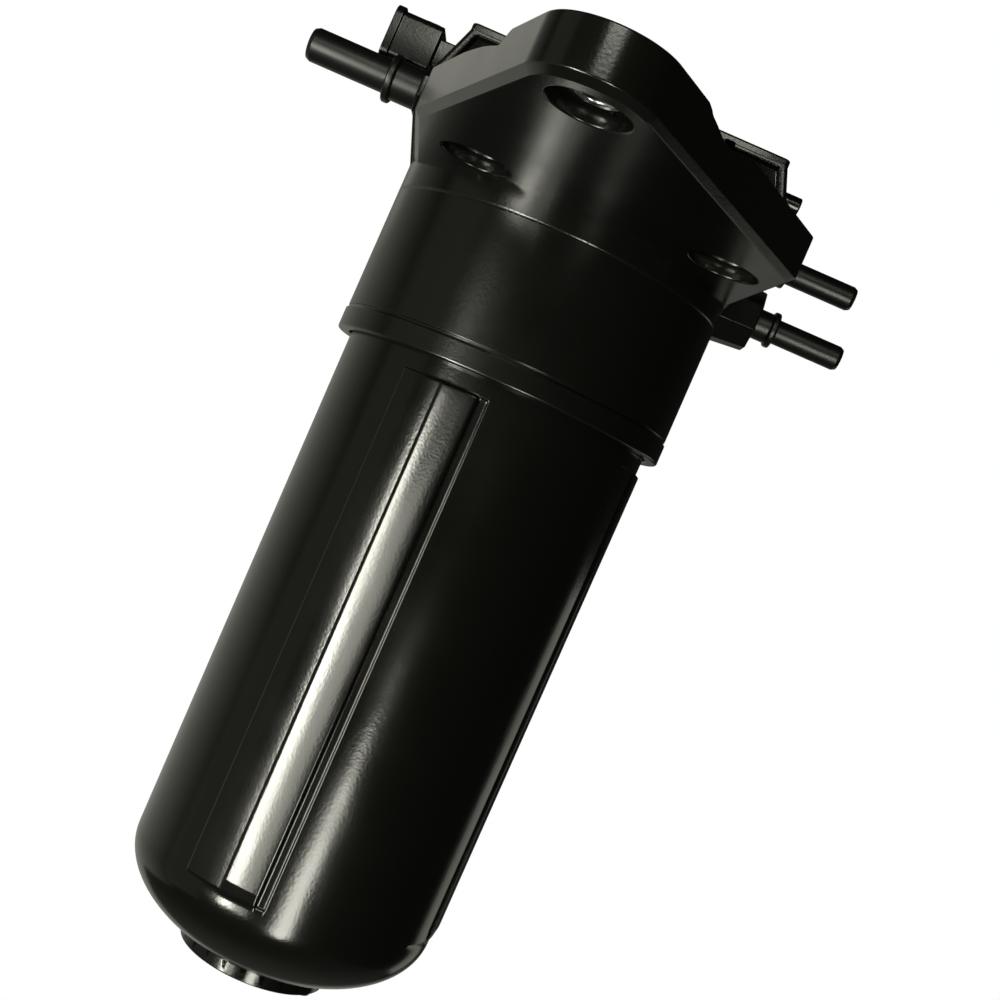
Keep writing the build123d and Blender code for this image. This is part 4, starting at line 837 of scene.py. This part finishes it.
    def relief(self, points: np.ndarray) -> np.ndarray:
        """Depth of the step in the mounting face, along the foot of the chamber, at each point."""
        return self.relief_depth * (points[:, 1] > self.back - self.relief_w)

    def build(self, material: Material) -> None:
        """Make the flange's edge band, underside, recesses, pockets, ribs and bosses.

        Args:
            material: Its material.
        """
        edge, normal = self.outline()
        low, bevel = -self.thickness, self.low_edge
        band = rounded([
            (bevel + 0.6, low), (bevel, low), (0.0, low + bevel), (0.0, 0.0), (self.rim, 0.0),
            (self.rim, -self.pocket), (self.rim + 4.0, -self.pocket)],
            [0.5, 0.5, self.top_edge, self.top_edge, 0.8])
        drop = self.dip(edge) + self.relief(edge)
        lift = np.clip((band[:, 1:] + self.thickness / 2) / (self.thickness / 2 - 1.0), 0, 1)
        shell = Shell("flange_skin")
        shell.add_grid(at_heights(edge - band[:, :1, None] * normal, band[:, 1:] - lift * drop), wrap=False)
        mouth, sleeve = self.recess_r + 0.4, self.sleeve_r + 0.05
        under, floor = edge - (bevel + 0.6) * normal, edge - (self.rim + 3.9) * normal
        feet = [ring(bolt, self.boss_r - 0.5, 72) for bolt in self.bolts]
        shell.add_flat(under, [ring(bolt, mouth, 72) for bolt in self.bolts], low, up=False)
        shell.add_flat(floor, feet, -self.pocket, up=True)
        recess = rounded([
            (mouth, low), (self.recess_r, low), (self.recess_r, low + self.recess_depth),
            (sleeve, low + self.recess_depth), (sleeve, -0.4)], [0.4, 0.5, 0.0])
        boss = rounded([
            (sleeve, -0.4), (sleeve, -0.02), (self.boss_r, -0.02), (self.boss_r, -self.pocket - 0.1)],
            [0.2, 0.5])
        for x, y in self.bolts:
            place = Place((x, y, 0.0))
            shell.add_grid(lathe(recess, 72), place=place, inside=True)
            shell.add_grid(lathe(boss, 72), place=place)
        self._add_ribs(shell, edge - (self.rim - 0.5) * normal)
        dress(shell.build(), material, "mounting_flange")

    def _add_ribs(self, shell: Shell, inner: np.ndarray) -> None:
        """Add the crossing ribs of the top, each running from rim to rim.

        A rib is a rounded profile carried along a straight line that ends where it meets the inner
        side of the rim.

        Args:
            shell: Shell to add them to.
            inner: (x, y) points along the inner side of the rim.
        """
        half, top = self.rib / 2, -self.pocket
        section = rounded([(-half, top), (-half, 0.0), (half, 0.0), (half, top)], [0.5, 0.5])
        for index in range(-self.ribs_each_way, self.ribs_each_way + 1):
            at = index * self.pitch
            ends = self._crossings(inner, 0, at)
            if len(ends):
                self._rib(shell, section, (at, ends.min()), (at, self.back - self.rim + 0.5), -0.04)
            ends = self._crossings(inner, 1, at)
            if len(ends) >= 2 and at < self.back - self.rim:
                self._rib(shell, section, (ends.min(), at), (ends.max(), at), -0.01)
        step, low = -self.relief_w, -self.relief_depth
        rear = rounded([
            (-self.rim, top), (-self.rim, 0.0), (step, 0.0), (step, low), (0.5, low)], [0.5, 0.2, 0.1])
        left = self._side_x(self.left_corner, self.left_end) + self.rim / 2
        right = self._side_x(self.right_corner, self.right_end) - self.rim / 2
        self._rib(shell, rear, (left, self.back), (right, self.back), -0.02)

    @staticmethod
    def _crossings(line: np.ndarray, axis: int, at: float) -> np.ndarray:
        """Where a line of points crosses a value of x or y, as values of the other one.

        Args:
            line: (x, y) points along the line.
            axis: 0 where the value is an x, 1 where it is a y.
            at: The value.

        Returns:
            The other coordinate of each crossing.
        """
        u, v = line[:, axis], line[:, 1 - axis]
        before = np.where((u[:-1] - at) * (u[1:] - at) <= 0)[0]
        share = (at - u[before]) / (u[before + 1] - u[before] + 1e-9)
        return v[before] + share * (v[before + 1] - v[before])

    def _side_x(self, corner: Pair, end: Pair) -> float:
        """Where a side of the flange meets the chamber's front, in x."""
        return float(np.interp(self.back, [corner[1], end[1]], [corner[0], end[0]]))

    @staticmethod
    def _rib(shell: Shell, section: np.ndarray, start: Pair, end: Pair, lift: float) -> None:
        """Carry a rib's section along a level line.

        Args:
            shell: Shell to add it to.
            section: Rows of distance across the rib and height.
            start: (x, y) of one end.
            end: (x, y) of the other end.
            lift: Added to the heights.
        """
        a, b = np.array(start), np.array(end)
        along = (b - a) / np.linalg.norm(b - a)
        across = np.array([-along[1], along[0]])
        plan = np.stack([a, b]) + section[:, :1, None] * across
        shell.add_grid(at_heights(plan, section[:, 1:] + lift), wrap=False)


@dataclass
class Collar:
    """The collar that takes the canister, with the hollow blend up to the flange."""

    flange: Flange
    centre: Pair = (-3.5, 75.0)
    radius: float = 46.9
    wall: float = 3.0
    bottom_z: float = -58.8
    roof_z: float = -16.0
    band_h: float = 5.8
    band_proud: float = 0.35
    groove: float = 0.8
    blend_h: float = 7.4
    blend_w: float = 6.0
    blend_step: float = 0.4

    def build(self, material: Material) -> None:
        """Make the collar's wall and its blend.

        Args:
            material: Its material.
        """
        place = Place((*self.centre, 0.0))
        band = self.radius + self.band_proud
        groove_z = self.bottom_z + self.band_h
        inner = self.radius - self.wall
        wall = rounded([
            (inner, self.roof_z), (inner, self.bottom_z), (band, self.bottom_z), (band, groove_z),
            (self.radius - 0.35, groove_z + 0.15), (self.radius - 0.35, groove_z + self.groove),
            (self.radius, groove_z + self.groove + 0.15), (self.radius, -self.flange.thickness + 1.0)],
            [0.5, 0.7, 0.25, 0.15, 0.15, 0.25], steps=5, support=0.08)
        shell = Shell("collar_skin")
        shell.add_grid(lathe(wall, 180), place=place)
        dress(shell.build(), material, "filter_collar")
        self._build_blend(material)

    def _build_blend(self, material: Material) -> None:
        """Make the hollow blend, cut by the flange's sides and by one bolt's recess.

        The section is a quarter of a hollow curve from the collar out to the underside. Round the
        collar its radius is held inside the flange's edge, so the side walls run down over it.

        Args:
            material: Its material.
        """
        turn = np.linspace(0, math.pi / 2, 12)
        inner = self.radius + self.blend_step
        low = -self.flange.thickness
        out = inner + self.blend_w * (1 - np.cos(turn))
        up = low - self.blend_h + self.blend_h * np.sin(turn)
        radius = np.concatenate([[self.radius - 1.0, inner - 0.15], out, [out[-1], self.radius - 1.0]])
        height = np.concatenate([[up[0] - 0.02, up[0]], up, [low + 1.0, low + 1.0]])
        angles = np.radians(np.arange(0, 360, 1.25))
        held = np.minimum(radius[:, None], self._reach(angles))
        shell = Shell("collar_blend_skin")
        grid = turned(held, angles, height[:, None])
        shell.add_grid(grid, wrap_rows=True, place=Place((*self.centre, 0.0)))
        piece = shell.build()
        recess = Shell("recess_cut")
        x, y = self.flange.bolts[1]
        column = np.array([
            (0.0, low - self.blend_h - 2), (self.flange.recess_r, low - self.blend_h - 2),
            (self.flange.recess_r, low + 3), (0.0, low + 3)])
        recess.add_grid(lathe(column, 72), place=Place((x, y, 0.0)))
        cut_by(piece, recess.build())
        dress(piece, material, "filter_collar")

    def _reach(self, angles: np.ndarray) -> np.ndarray:
        """Distance from the collar's axis to the flat of the flange's underside in each direction.

        Args:
            angles: Directions in radians.

        Returns:
            The distance in each direction.
        """
        edge, normal = self.flange.outline()
        rel = edge - self.flange.low_edge * normal - np.array(self.centre)
        bearing = np.unwrap(np.arctan2(rel[:, 1], rel[:, 0]) % (2 * math.pi))
        away = np.hypot(rel[:, 0], rel[:, 1])
        order = np.argsort(bearing)
        found = np.interp(
            angles % (2 * math.pi), bearing[order], away[order], left=self.radius, right=self.radius)
        return np.maximum(found, self.radius - 1.0)


def cut_by(piece: Object, cutter: Object) -> None:
    """Take the cutter's volume out of a piece, and remove the cutter.

    Args:
        piece: Piece to cut.
        cutter: Object whose volume is taken out.
    """
    tool = piece.modifiers.new("cut", "BOOLEAN")
    tool.operation = "DIFFERENCE"
    tool.solver = "EXACT"
    tool.object = cutter
    graph = bpy.context.evaluated_depsgraph_get()
    mesh = bpy.data.meshes.new_from_object(piece.evaluated_get(graph))
    piece.modifiers.clear()
    piece.data = mesh
    bpy.data.objects.remove(cutter)


@dataclass
class Chamber:
    """The pump chamber's walls and underside, its recessed front panel and its lid."""

    left: float = -49.5
    right: float = 43.6
    front: float = 66.0
    back: float = 148.0
    bulge: float = 5.2
    bulge_low_z: float = 1.5
    bulge_high_z: float = 15.0
    low_z: float = -12.1
    top_z: float = 28.6
    corner: float = 1.2
    panel_depth: float = 1.8
    panel_border: float = 2.8
    panel_top_border: float = 1.2
    panel_foot: float = 3.0
    lid: float = 2.2
    screw_inset: float = 4.6
    screw_r: float = 3.4
    screw_bore_r: float = 1.7
    nub_at: Pair = (73.0, 21.8)
    nub_r: float = 2.5
    nub_out: float = 2.5
    step_blend: float = 0.12

    def build(self, material: Material) -> None:
        """Make the chamber's walls, its lid and the blind nub on its right side.

        Args:
            material: Material of the walls, lid and nub.
        """
        self._build_walls(material)
        self._build_lid(material)
        self._build_nub(material)

    def _build_walls(self, material: Material) -> None:
        """Make the walls as one grid.

        At each height the sides swell in proportion to the distance from the nearer edge, up to the
        full swell between its two heights, and the wall follows a round-cornered rectangle. Inside
        the panel's border, which follows the sides, the front lies deeper.

        Args:
            material: Its material.
        """
        panel_top = self.top_z - self.panel_top_border
        near = np.array([-0.5, -0.15, 0.15, 0.5])
        bend = np.array([-0.7, -0.2, 0.2, 0.7])
        heights = np.sort(np.concatenate([
            [self.low_z + 0.7, self.low_z + 0.9, -5.0, 9.0, 22.0, self.top_z - 0.4, self.top_z],
            self.bulge_low_z - 0.7 + bend, self.bulge_high_z + bend, self.panel_foot + near,
            panel_top + near]))
        rise = np.clip((heights - self.low_z) / (self.bulge_low_z - self.low_z), 0, 1)
        fall = np.clip((self.top_z - heights) / (self.top_z - self.bulge_high_z), 0, 1)
        swell = self.bulge * np.minimum(rise, fall)
        left, right = self.left - swell, self.right + swell
        start, end = (left + self.panel_border)[:, None], (right - self.panel_border)[:, None]
        beside = np.maximum(near, self.corner - self.panel_border - 0.02)
        between = start + (end - start) * np.linspace(0, 1, 11)[1:-1]
        fronts = np.concatenate([start + beside, between, end - beside[::-1]], axis=1)
        plan = rounded_rectangle(left, right, self.front, self.back, self.corner, 12, fronts)
        inside_x = soft_band(plan[..., 0], start, end, self.step_blend)
        inside_z = soft_band(heights, self.panel_foot, panel_top, self.step_blend)[:, None]
        on_front = plan[..., 1] < self.front + 0.8
        plan[..., 1] += self.panel_depth * inside_x * inside_z * on_front
        shell = Shell("chamber_skin")
        shell.add_grid(at_heights(plan, heights[:, None]))
        edge = rounded([(1.4, self.low_z), (0.0, self.low_z), (0.0, self.low_z + 0.7)], [0.65])
        skirt = self._drawn_in(plan[:1], edge)
        shell.add_grid(at_heights(skirt, edge[:, 1:] + 0.02))
        shell.add_flat(skirt[0], [], self.low_z + 0.02, up=False)
        dress(shell.build(), material, "pump_chamber")

    def _drawn_in(self, plan: np.ndarray, profile: np.ndarray) -> np.ndarray:
        """Shrink a plan about the chamber's middle, by the profile's inset on each row.

        Args:
            plan: (x, y) points of the plan, one row for all or one for each row of the profile.
            profile: Rows of inset and height.

        Returns:
            The plan at each row of the profile.
        """
        low, high = np.array([self.left, self.front]), np.array([self.right, self.back])
        middle, size = (low + high) / 2, (high - low) / 2
        return middle + (plan - middle) * ((size - profile[:, :1]) / size)[:, None, :]

    def _build_lid(self, material: Material) -> None:
        """Make the lid, with countersunk holes for its screws.

        Args:
            material: Its material.
        """
        low, top = self.top_z, self.top_z + self.lid
        section = rounded([(1.0, low), (0.0, low), (0.0, top), (0.9, top)], [0.2, 0.7])
        fronts = np.linspace(self.left + 8, self.right - 8, 3)
        plan = rounded_rectangle(
            np.array([self.left]), np.array([self.right]), self.front, self.back, self.corner, 8, fronts)
        plan = self._drawn_in(plan, section)
        shell = Shell("cover_skin")
        shell.add_grid(at_heights(plan, section[:, 1:]))
        mouth, bore = self.screw_r + 0.1, self.screw_bore_r
        shell.add_flat(plan[-1], [ring(place, mouth, 32) for place in self.screw_places()], top, up=True)
        cone = np.array([(mouth, top), (bore, top - self.screw_r + 1.6), (bore, low)])
        for x, y in self.screw_places():
            shell.add_grid(lathe(cone, 32), place=Place((x, y, 0.0)), inside=True)
        dress(shell.build(), material, "pump_cover")

    def _build_nub(self, material: Material) -> None:
        """Make the small blind nub that stands out of the right wall, beyond its widest line.

        Args:
            material: Its material.
        """
        tip = self.right + self.bulge + self.nub_out
        profile = rounded([(self.nub_r, self.right - tip), (self.nub_r, 0.0), (0.01, 0.0)], [0.5])
        shell = Shell("nub_skin")
        shell.add_grid(lathe(profile, 40), place=Place((tip, *self.nub_at), (1.0, 0.0, 0.0)))
        dress(shell.build(), material)

    def screw_places(self) -> list[Pair]:
        """Where the six screws of the lid stand.

        Returns:
            (x, y) of each screw.
        """
        xs = (self.left + self.screw_inset, -3.5, self.right - self.screw_inset)
        ys = (self.front + self.screw_inset, self.back - self.screw_inset)
        return [(x, y) for x in xs for y in ys]


@dataclass
class Stem:
    """A quick-connect stem and the boss that carries it."""

    name: str
    node: str
    root: Triple
    direction: float
    length: float
    radius: float
    bead_r: float
    bore_r: float
    bead_from_tip: float
    boss_r: float
    boss_l: float
    boss_sides: int = 0
    bead_t: float = 2.2
    boss_taper: float = 1.0
    grow: float = 0.9

    def place(self) -> Place:
        """The stem's frame, with its root at height 0 and its tip along its axis."""
        return Place(self.root, (self.direction, 0.0, 0.0))

    def build(self, stem_material: Material, head_material: Material) -> None:
        """Make the stem and its boss.

        Args:
            stem_material: Material of the stem.
            head_material: Material of the boss.
        """
        bead = self.length - self.bead_from_tip
        root_r = self.radius + self.grow
        low = bead - self.bead_t
        profile = rounded([
            (root_r, -0.5), (root_r, low), (self.bead_r, low), (self.bead_r, bead), (self.radius, bead),
            (self.radius, self.length - 1.2), (self.radius - 0.6, self.length), (self.bore_r, self.length),
            (self.bore_r, -6.0)], [0.25, 0.7, 0.7, 0.3, 0.3, 0.2, 0.3], steps=5)
        shell = Shell(self.name)
        shell.add_grid(lathe(profile, 72), place=self.place())
        shell.add_grid(lathe(np.array([(self.bore_r, -6.0), (0.0, -6.0)]), 72), place=self.place())
        dress(shell.build(), stem_material, self.node, slot=Slot.STEM)
        self._build_boss(head_material)

    def _build_boss(self, material: Material) -> None:
        """Make the boss: round, or a tapered prism with flat sides.

        Args:
            material: Its material.
        """
        profile = rounded([
            (self.boss_r * self.boss_taper, -self.boss_l), (self.boss_r, 0.0),
            (self.radius + self.grow - 0.2, 0.0)], [0.6])
        shell = Shell(self.name + "_boss")
        if self.boss_sides:
            pitch = 360.0 / self.boss_sides
            corner = (np.arange(self.boss_sides) + 0.5) * pitch
            near = np.array([-0.9, -0.3, 0.3, 0.9])
            angles = np.sort((corner[:, None] + near).ravel())
            local = (angles + pitch / 2) % pitch - pitch / 2
            flat = np.cos(math.pi / self.boss_sides) / np.cos(np.radians(local))
            share = np.clip((profile[:, :1] - self.radius - self.grow) / 2.0, 0, 1)
            radius = profile[:, :1] * (1 + share * (flat[None, :] - 1))
            grid = turned(radius, np.radians(angles), profile[:, 1:])
        else:
            grid = lathe(profile, 72)
        shell.add_grid(grid, place=self.place())
        dress(shell.build(), material)


@dataclass
class Connector:
    """The rectangular electrical socket with its rim and latch ramp."""

    y: float = 87.0
    z: float = 22.8
    width: float = 19.0
    height: float = 14.0
    mouth_x: float = -72.0
    floor_x: float = -60.0
    end_x: float = -57.8
    root_x: float = -49.0
    root_in_w: float = 2.0
    root_in_h: float = 3.0
    wall: float = 1.5
    rim: float = 0.9
    rim_l: float = 2.4
    latch_w: float = 6.0
    latch_l: float = 9.6
    latch_h: float = 1.6
    corner_r: float = 2.0
    least_corner_r: float = 0.6

    def build(self, material: Material) -> None:
        """Make the socket.

        Args:
            material: Its material.
        """
        length = self.root_x - self.mouth_x
        floor = self.root_x - self.floor_x
        end = self.root_x - self.end_x
        profile = rounded([
            (-self.root_in_w, 0.0), (-self.root_in_w, end), (0.0, end), (0.0, length - self.rim_l),
            (self.rim, length - self.rim_l), (self.rim, length), (-self.wall, length), (-self.wall, floor)],
            [0.3, 0.4, 0.2, 0.3, 0.3, 0.3])
        grow = profile[:, 0]
        rise = np.where(profile[:, 1] < end + 0.5, grow * self.root_in_h / self.root_in_w, grow)
        half_h, half_w = self.height / 2, self.width / 2
        plan = np.stack([
            rounded_rectangle(np.array([-half_h - up]), np.array([half_h + up]), -half_w - out, half_w + out,
                              max(self.corner_r + out, self.least_corner_r), 6, np.zeros(1))[0]
            for out, up in zip(grow, rise)])
        along = np.broadcast_to(self.root_x - profile[:, 1:], plan.shape[:2])
        points = np.stack([along, self.y + plan[..., 1], self.z + plan[..., 0]], axis=-1)
        shell = Shell("connector_skin")
        shell.add_grid(points)
        shell.add_grid(np.stack([points[-1], np.broadcast_to(points[-1].mean(axis=0), points[-1].shape)]))
        self._add_ramp(shell)
        dress(shell.build(), material, "connector_shell")

    def _add_ramp(self, shell: Shell) -> None:
        """Add the latch ramp on top of the socket.

        Args:
            shell: Shell to add it to.
        """
        x = self.mouth_x + self.rim_l
        top = self.z + self.height / 2
        low = top - 0.5
        end = x + self.latch_l
        section = rounded([
            (x, low), (x, top + 0.3), (x + self.latch_l * 0.6, top + self.latch_h), (end, top + self.latch_h),
            (end, low)], [0.2, 0.4, 0.3], steps=4)
        across = np.array([[-0.5, -0.44, 0.44, 0.5]]) * self.latch_w
        height = np.maximum(section[:, 1:] - np.array([0.25, 0.0, 0.0, 0.25]), low)
        grid = np.stack(np.broadcast_arrays(section[:, :1], self.y + across, height), axis=-1)
        shell.add_grid(grid, wrap=False)
        for side in (0, -1):
            foot = grid[:, side].copy()
            foot[:, 2] = low
            shell.add_grid(np.stack([grid[:, side], foot]), wrap=False)


@dataclass
class Sleeves:
    """The three steel sleeves in the flange's bolt holes."""

    bolts: tuple[Pair, ...]
    outer: float = 6.25
    bore: float = 4.25
    low_z: float = -9.1

    def build(self, material: Material) -> None:
        """Make the sleeves, chamfered at both ends.

        Args:
            material: Its material.
        """
        low = self.low_z
        profile = rounded([
            (self.bore, 0.0), (self.bore, low), (self.outer, low), (self.outer, 0.0), (self.bore, 0.0)],
            [0.5, 0.35, 0.3], steps=4, support=0.05)
        shell = Shell("bolt_sleeves_skin")
        for x, y in self.bolts:
            shell.add_grid(lathe(profile, 64), place=Place((x, y, 0.0)))
        dress(shell.build(), material, "bolt_sleeves", slot=Slot.STEEL)


@dataclass(frozen=True)
class SoftBox:
    """A flat lamp that faces the canister, in millimetres and degrees."""

    name: str
    azimuth: float
    z: float
    aim_z: float
    width: float
    height: float
    radiance: float
    roll: float = 0.0
    shape: str = "RECTANGLE"


@dataclass(frozen=True)
class Glow:
    """A soft bright part of the surroundings, round a direction."""

    towards: Triple
    cosine_from: float
    gain: float


@dataclass(frozen=True)
class Studio:
    """White surroundings, soft lamps and the camera of the photograph."""

    axis: Pair = (-3.5, 75.0)
    camera_at: Triple = (8.55, -315.0, -87.0)
    pitch_deg: float = 0.44
    roll_deg: float = 23.7
    focal_px: float = 1424.0
    frame_px: float = 1000.0
    sensor: float = 36.0
    floor_z: float = -2600.0
    floor_half: float = 2800.0
    lamp_distance: float = 900.0
    dim: float = 0.012
    tint: Triple = (1.0, 0.995, 0.88)
    glows: tuple[Glow, ...] = (
        Glow((-0.62, 0.71, -0.33), cosine_from=0.6, gain=0.45),
        Glow((0.10, 0.87, -0.48), cosine_from=0.955, gain=0.25),
        Glow((-0.53, 0.76, 0.38), cosine_from=0.965, gain=0.5),
    )
    boxes: tuple[SoftBox, ...] = (
        SoftBox("key", azimuth=-32.5, z=-310.0, aim_z=-190.0, width=150.0, height=500.0, radiance=34.0,
                roll=12.0),
        SoftBox("key_edge", azimuth=-21.0, z=-340.0, aim_z=-200.0, width=170.0, height=520.0, radiance=6.0,
                roll=6.0),
        SoftBox("low", azimuth=14.0, z=-590.0, aim_z=-300.0, width=210.0, height=520.0, radiance=14.0,
                shape="ELLIPSE"),
        SoftBox("high", azimuth=-3.0, z=370.0, aim_z=20.0, width=330.0, height=220.0, radiance=8.0),
        SoftBox("rear", azimuth=137.0, z=-440.0, aim_z=-300.0, width=260.0, height=640.0, radiance=0.5),
        SoftBox("side", azimuth=-70.0, z=-100.0, aim_z=-100.0, width=520.0, height=1500.0, radiance=0.16),
    )

    def build(self) -> None:
        """Make the camera, the floor, the lamps and the world."""
        self._camera()
        self._floor()
        self._lamps()
        self._world()
        bpy.context.scene.view_settings.view_transform = "Standard"

    def _camera(self) -> None:
        """Place the camera level in front of the canister, rolled so that the head leans right."""
        data = bpy.data.cameras.new("camera")
        data.sensor_width = self.sensor
        data.lens = self.focal_px / self.frame_px * self.sensor
        data.clip_start = 0.01
        camera = bpy.data.objects.new("camera", data)
        bpy.context.scene.collection.objects.link(camera)
        look = Matrix.Rotation(math.radians(90.0 + self.pitch_deg), 4, "X")
        roll = Matrix.Rotation(math.radians(self.roll_deg), 4, "Z")
        camera.matrix_world = Matrix.Translation(Vector(self.camera_at) * MM) @ look @ roll
        bpy.context.scene.camera = camera

    def _floor(self) -> None:
        """Lay a wide, level, pale floor under the object."""
        side = np.array([-self.floor_half, self.floor_half])
        shell = Shell("floor")
        plan = np.stack(np.meshgrid(side, side), axis=-1)
        shell.add_grid(at_heights(plan, np.array(self.floor_z)), wrap=False)
        floor = shell.build()
        made, graph, shader = start_material("pale_floor")
        graph.feed(shader, {"Base Color": (0.9, 0.9, 0.9, 1.0), "Roughness": 0.7})
        seen = graph.add("LightPath", {}).outputs["Is Camera Ray"]
        white = graph.add("Emission", {"Color": (1.0, 1.0, 1.0, 1.0)})
        mix = graph.add("MixShader", {"Fac": seen, 1: shader.outputs["BSDF"], 2: white.outputs["Emission"]})
        graph.feed(graph.nodes["Material Output"], {"Surface": mix.outputs["Shader"]})
        floor.data.materials.append(made)

    def _lamps(self) -> None:
        """Hang the soft boxes in a circle round the canister.

        A lamp of width w, height h and radiance L gives off pi times w times h times L.
        """
        for box in self.boxes:
            data = bpy.data.lights.new(box.name, "AREA")
            data.shape = box.shape
            data.size = box.width * MM
            data.size_y = box.height * MM
            data.energy = math.pi * data.size * data.size_y * box.radiance
            data.color = self.tint
            lamp = bpy.data.objects.new(box.name, data)
            bpy.context.scene.collection.objects.link(lamp)
            turn = math.radians(box.azimuth - 90.0)
            level = Vector((*self.axis, box.z))
            at = level + Vector((math.cos(turn), math.sin(turn), 0.0)) * self.lamp_distance
            aim = Vector((*self.axis, box.aim_z)) - at
            roll = Matrix.Rotation(math.radians(box.roll), 4, "Z")
            facing = aim.to_track_quat("-Z", "Y").to_matrix().to_4x4()
            lamp.matrix_world = Matrix.Translation(at * MM) @ facing @ roll

    def _world(self) -> None:
        """Make the surroundings white to the eye, and dim but for their glows to everything else.

        A glow grows evenly with the cosine of the angle to its middle, from nothing at a threshold
        to its full gain.
        """
        world = bpy.data.worlds.new("studio")
        bpy.context.scene.world = world
        world.use_nodes = True
        graph = Graph(world.node_tree)
        where = graph.add("TexCoord", {}).outputs["Generated"]
        total = self.dim
        for glow in self.glows:
            cosine = graph.add("VectorMath", {0: where, 1: glow.towards}, operation="DOT_PRODUCT")
            limits = {"From Min": glow.cosine_from, "From Max": 1.0}
            share = graph.add("MapRange", {"Value": cosine.outputs["Value"], **limits})
            shade = graph.add(
                "Math", {0: share.outputs["Result"], 1: glow.gain, 2: total}, operation="MULTIPLY_ADD")
            total = shade.outputs["Value"]
        seen = graph.add("LightPath", {}).outputs["Is Camera Ray"]
        strength = graph.add("Mix", {"Factor": seen, "A": total, "B": 1.0})
        ends = {"A": (*self.tint, 1.0), "B": (1.0, 1.0, 1.0, 1.0)}
        colour = graph.add("Mix", {"Factor": seen, **ends}, data_type="RGBA")
        graph.feed(graph.nodes["Background"], {
            "Color": colour.outputs["Result"], "Strength": strength.outputs["Result"]})


@dataclass(frozen=True)
class Interior:
    """Finishes for the nodes of the frame that show as they are."""

    finishes: dict[str, object] = field(default_factory=lambda: {
        "inner_plastic": Plain("inner_plastic", (0.11, 0.11, 0.10), 0.5),
        "steel": Metal("zinc_steel", (0.62, 0.62, 0.60), 0.3),
        "rubber": Plain("seal_rubber", (0.02, 0.02, 0.02), 0.65),
        "tinned_brass": Metal("tinned_brass", (0.72, 0.70, 0.64), 0.25),
        "bronze": Metal("bush_bronze", (0.50, 0.34, 0.16), 0.45),
        "copper": Metal("enamelled_copper", (0.70, 0.32, 0.14), 0.35),
        "lead_sheath": Plain("lead_sheath", (0.20, 0.03, 0.025), 0.5),
        "magnet": Metal("ground_magnet", (0.12, 0.12, 0.12), 0.5),
        "carbon": Plain("brush_carbon", (0.02, 0.02, 0.02), 0.55),
        "filter_paper": Plain("filter_paper", (0.62, 0.50, 0.28), 0.85),
        "head_plastic": Moulding("head_moulding_inner"),
        "stem_plastic": Moulding("stem_moulding_inner"),
        "canister_plastic": Moulding("canister_moulding_inner"),
    })

    def dress_nodes(self, frame: dict) -> None:
        """Give every node of the frame the finish of its slot.
        """
        made = {slot: finish.material() for slot, finish in self.finishes.items()}
        for part in frame["record"]["subparts"]:
            node = frame["nodes"][part["node"]]
            node.data.materials.clear()
            node.data.materials.append(made[part["material_slot"]])


def main() -> None:
    """Load the frame, build every piece and report it."""
    logging.basicConfig(level=logging.INFO, format="%(name)s: %(message)s")
    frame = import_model()
    Interior().dress_nodes(frame)
    Studio().build()

    head = Moulding("head_moulding").material()
    canister = Moulding("canister_moulding", roughness=0.17, wave=(40.0, 1.0), wave_depth=0.0002).material()
    stem = Moulding("stem_moulding", colour=(0.0028, 0.0028, 0.0025), roughness=0.36).material()
    steel = Metal("sleeve_steel", (0.66, 0.66, 0.64), 0.24).material()

    Canister().build(canister)
    DrainTap().build(canister)
    flange = Flange()
    flange.build(head)
    Collar(flange).build(head)
    Chamber().build(head)
    Sleeves(flange.bolts).build(steel)
    Connector().build(head)
    small = {"length": 29.3, "radius": 3.945, "bead_r": 5.8, "bore_r": 2.5, "bead_from_tip": 22.2}
    stems = (
        Stem("inlet_skin", "inlet_stem", (-56.4, 75.0, 10.0), -1.0, length=32.8, radius=4.745, bead_r=6.8,
             bore_r=3.2, bead_from_tip=23.3, boss_r=7.3, boss_l=6.0, boss_sides=8),
        Stem("outlet_skin", "outlet_stem", (59.5, 134.0, 0.0), 1.0, **small, boss_r=9.95, boss_l=13.0,
             boss_sides=8, boss_taper=1.12),
        Stem("return_skin", "return_stem", (56.0, 134.0, 19.0), 1.0, **small, boss_r=8.0, boss_l=10.0),
    )
    for piece in stems:
        piece.build(stem, head)


if __name__ == "__main__":
    main()
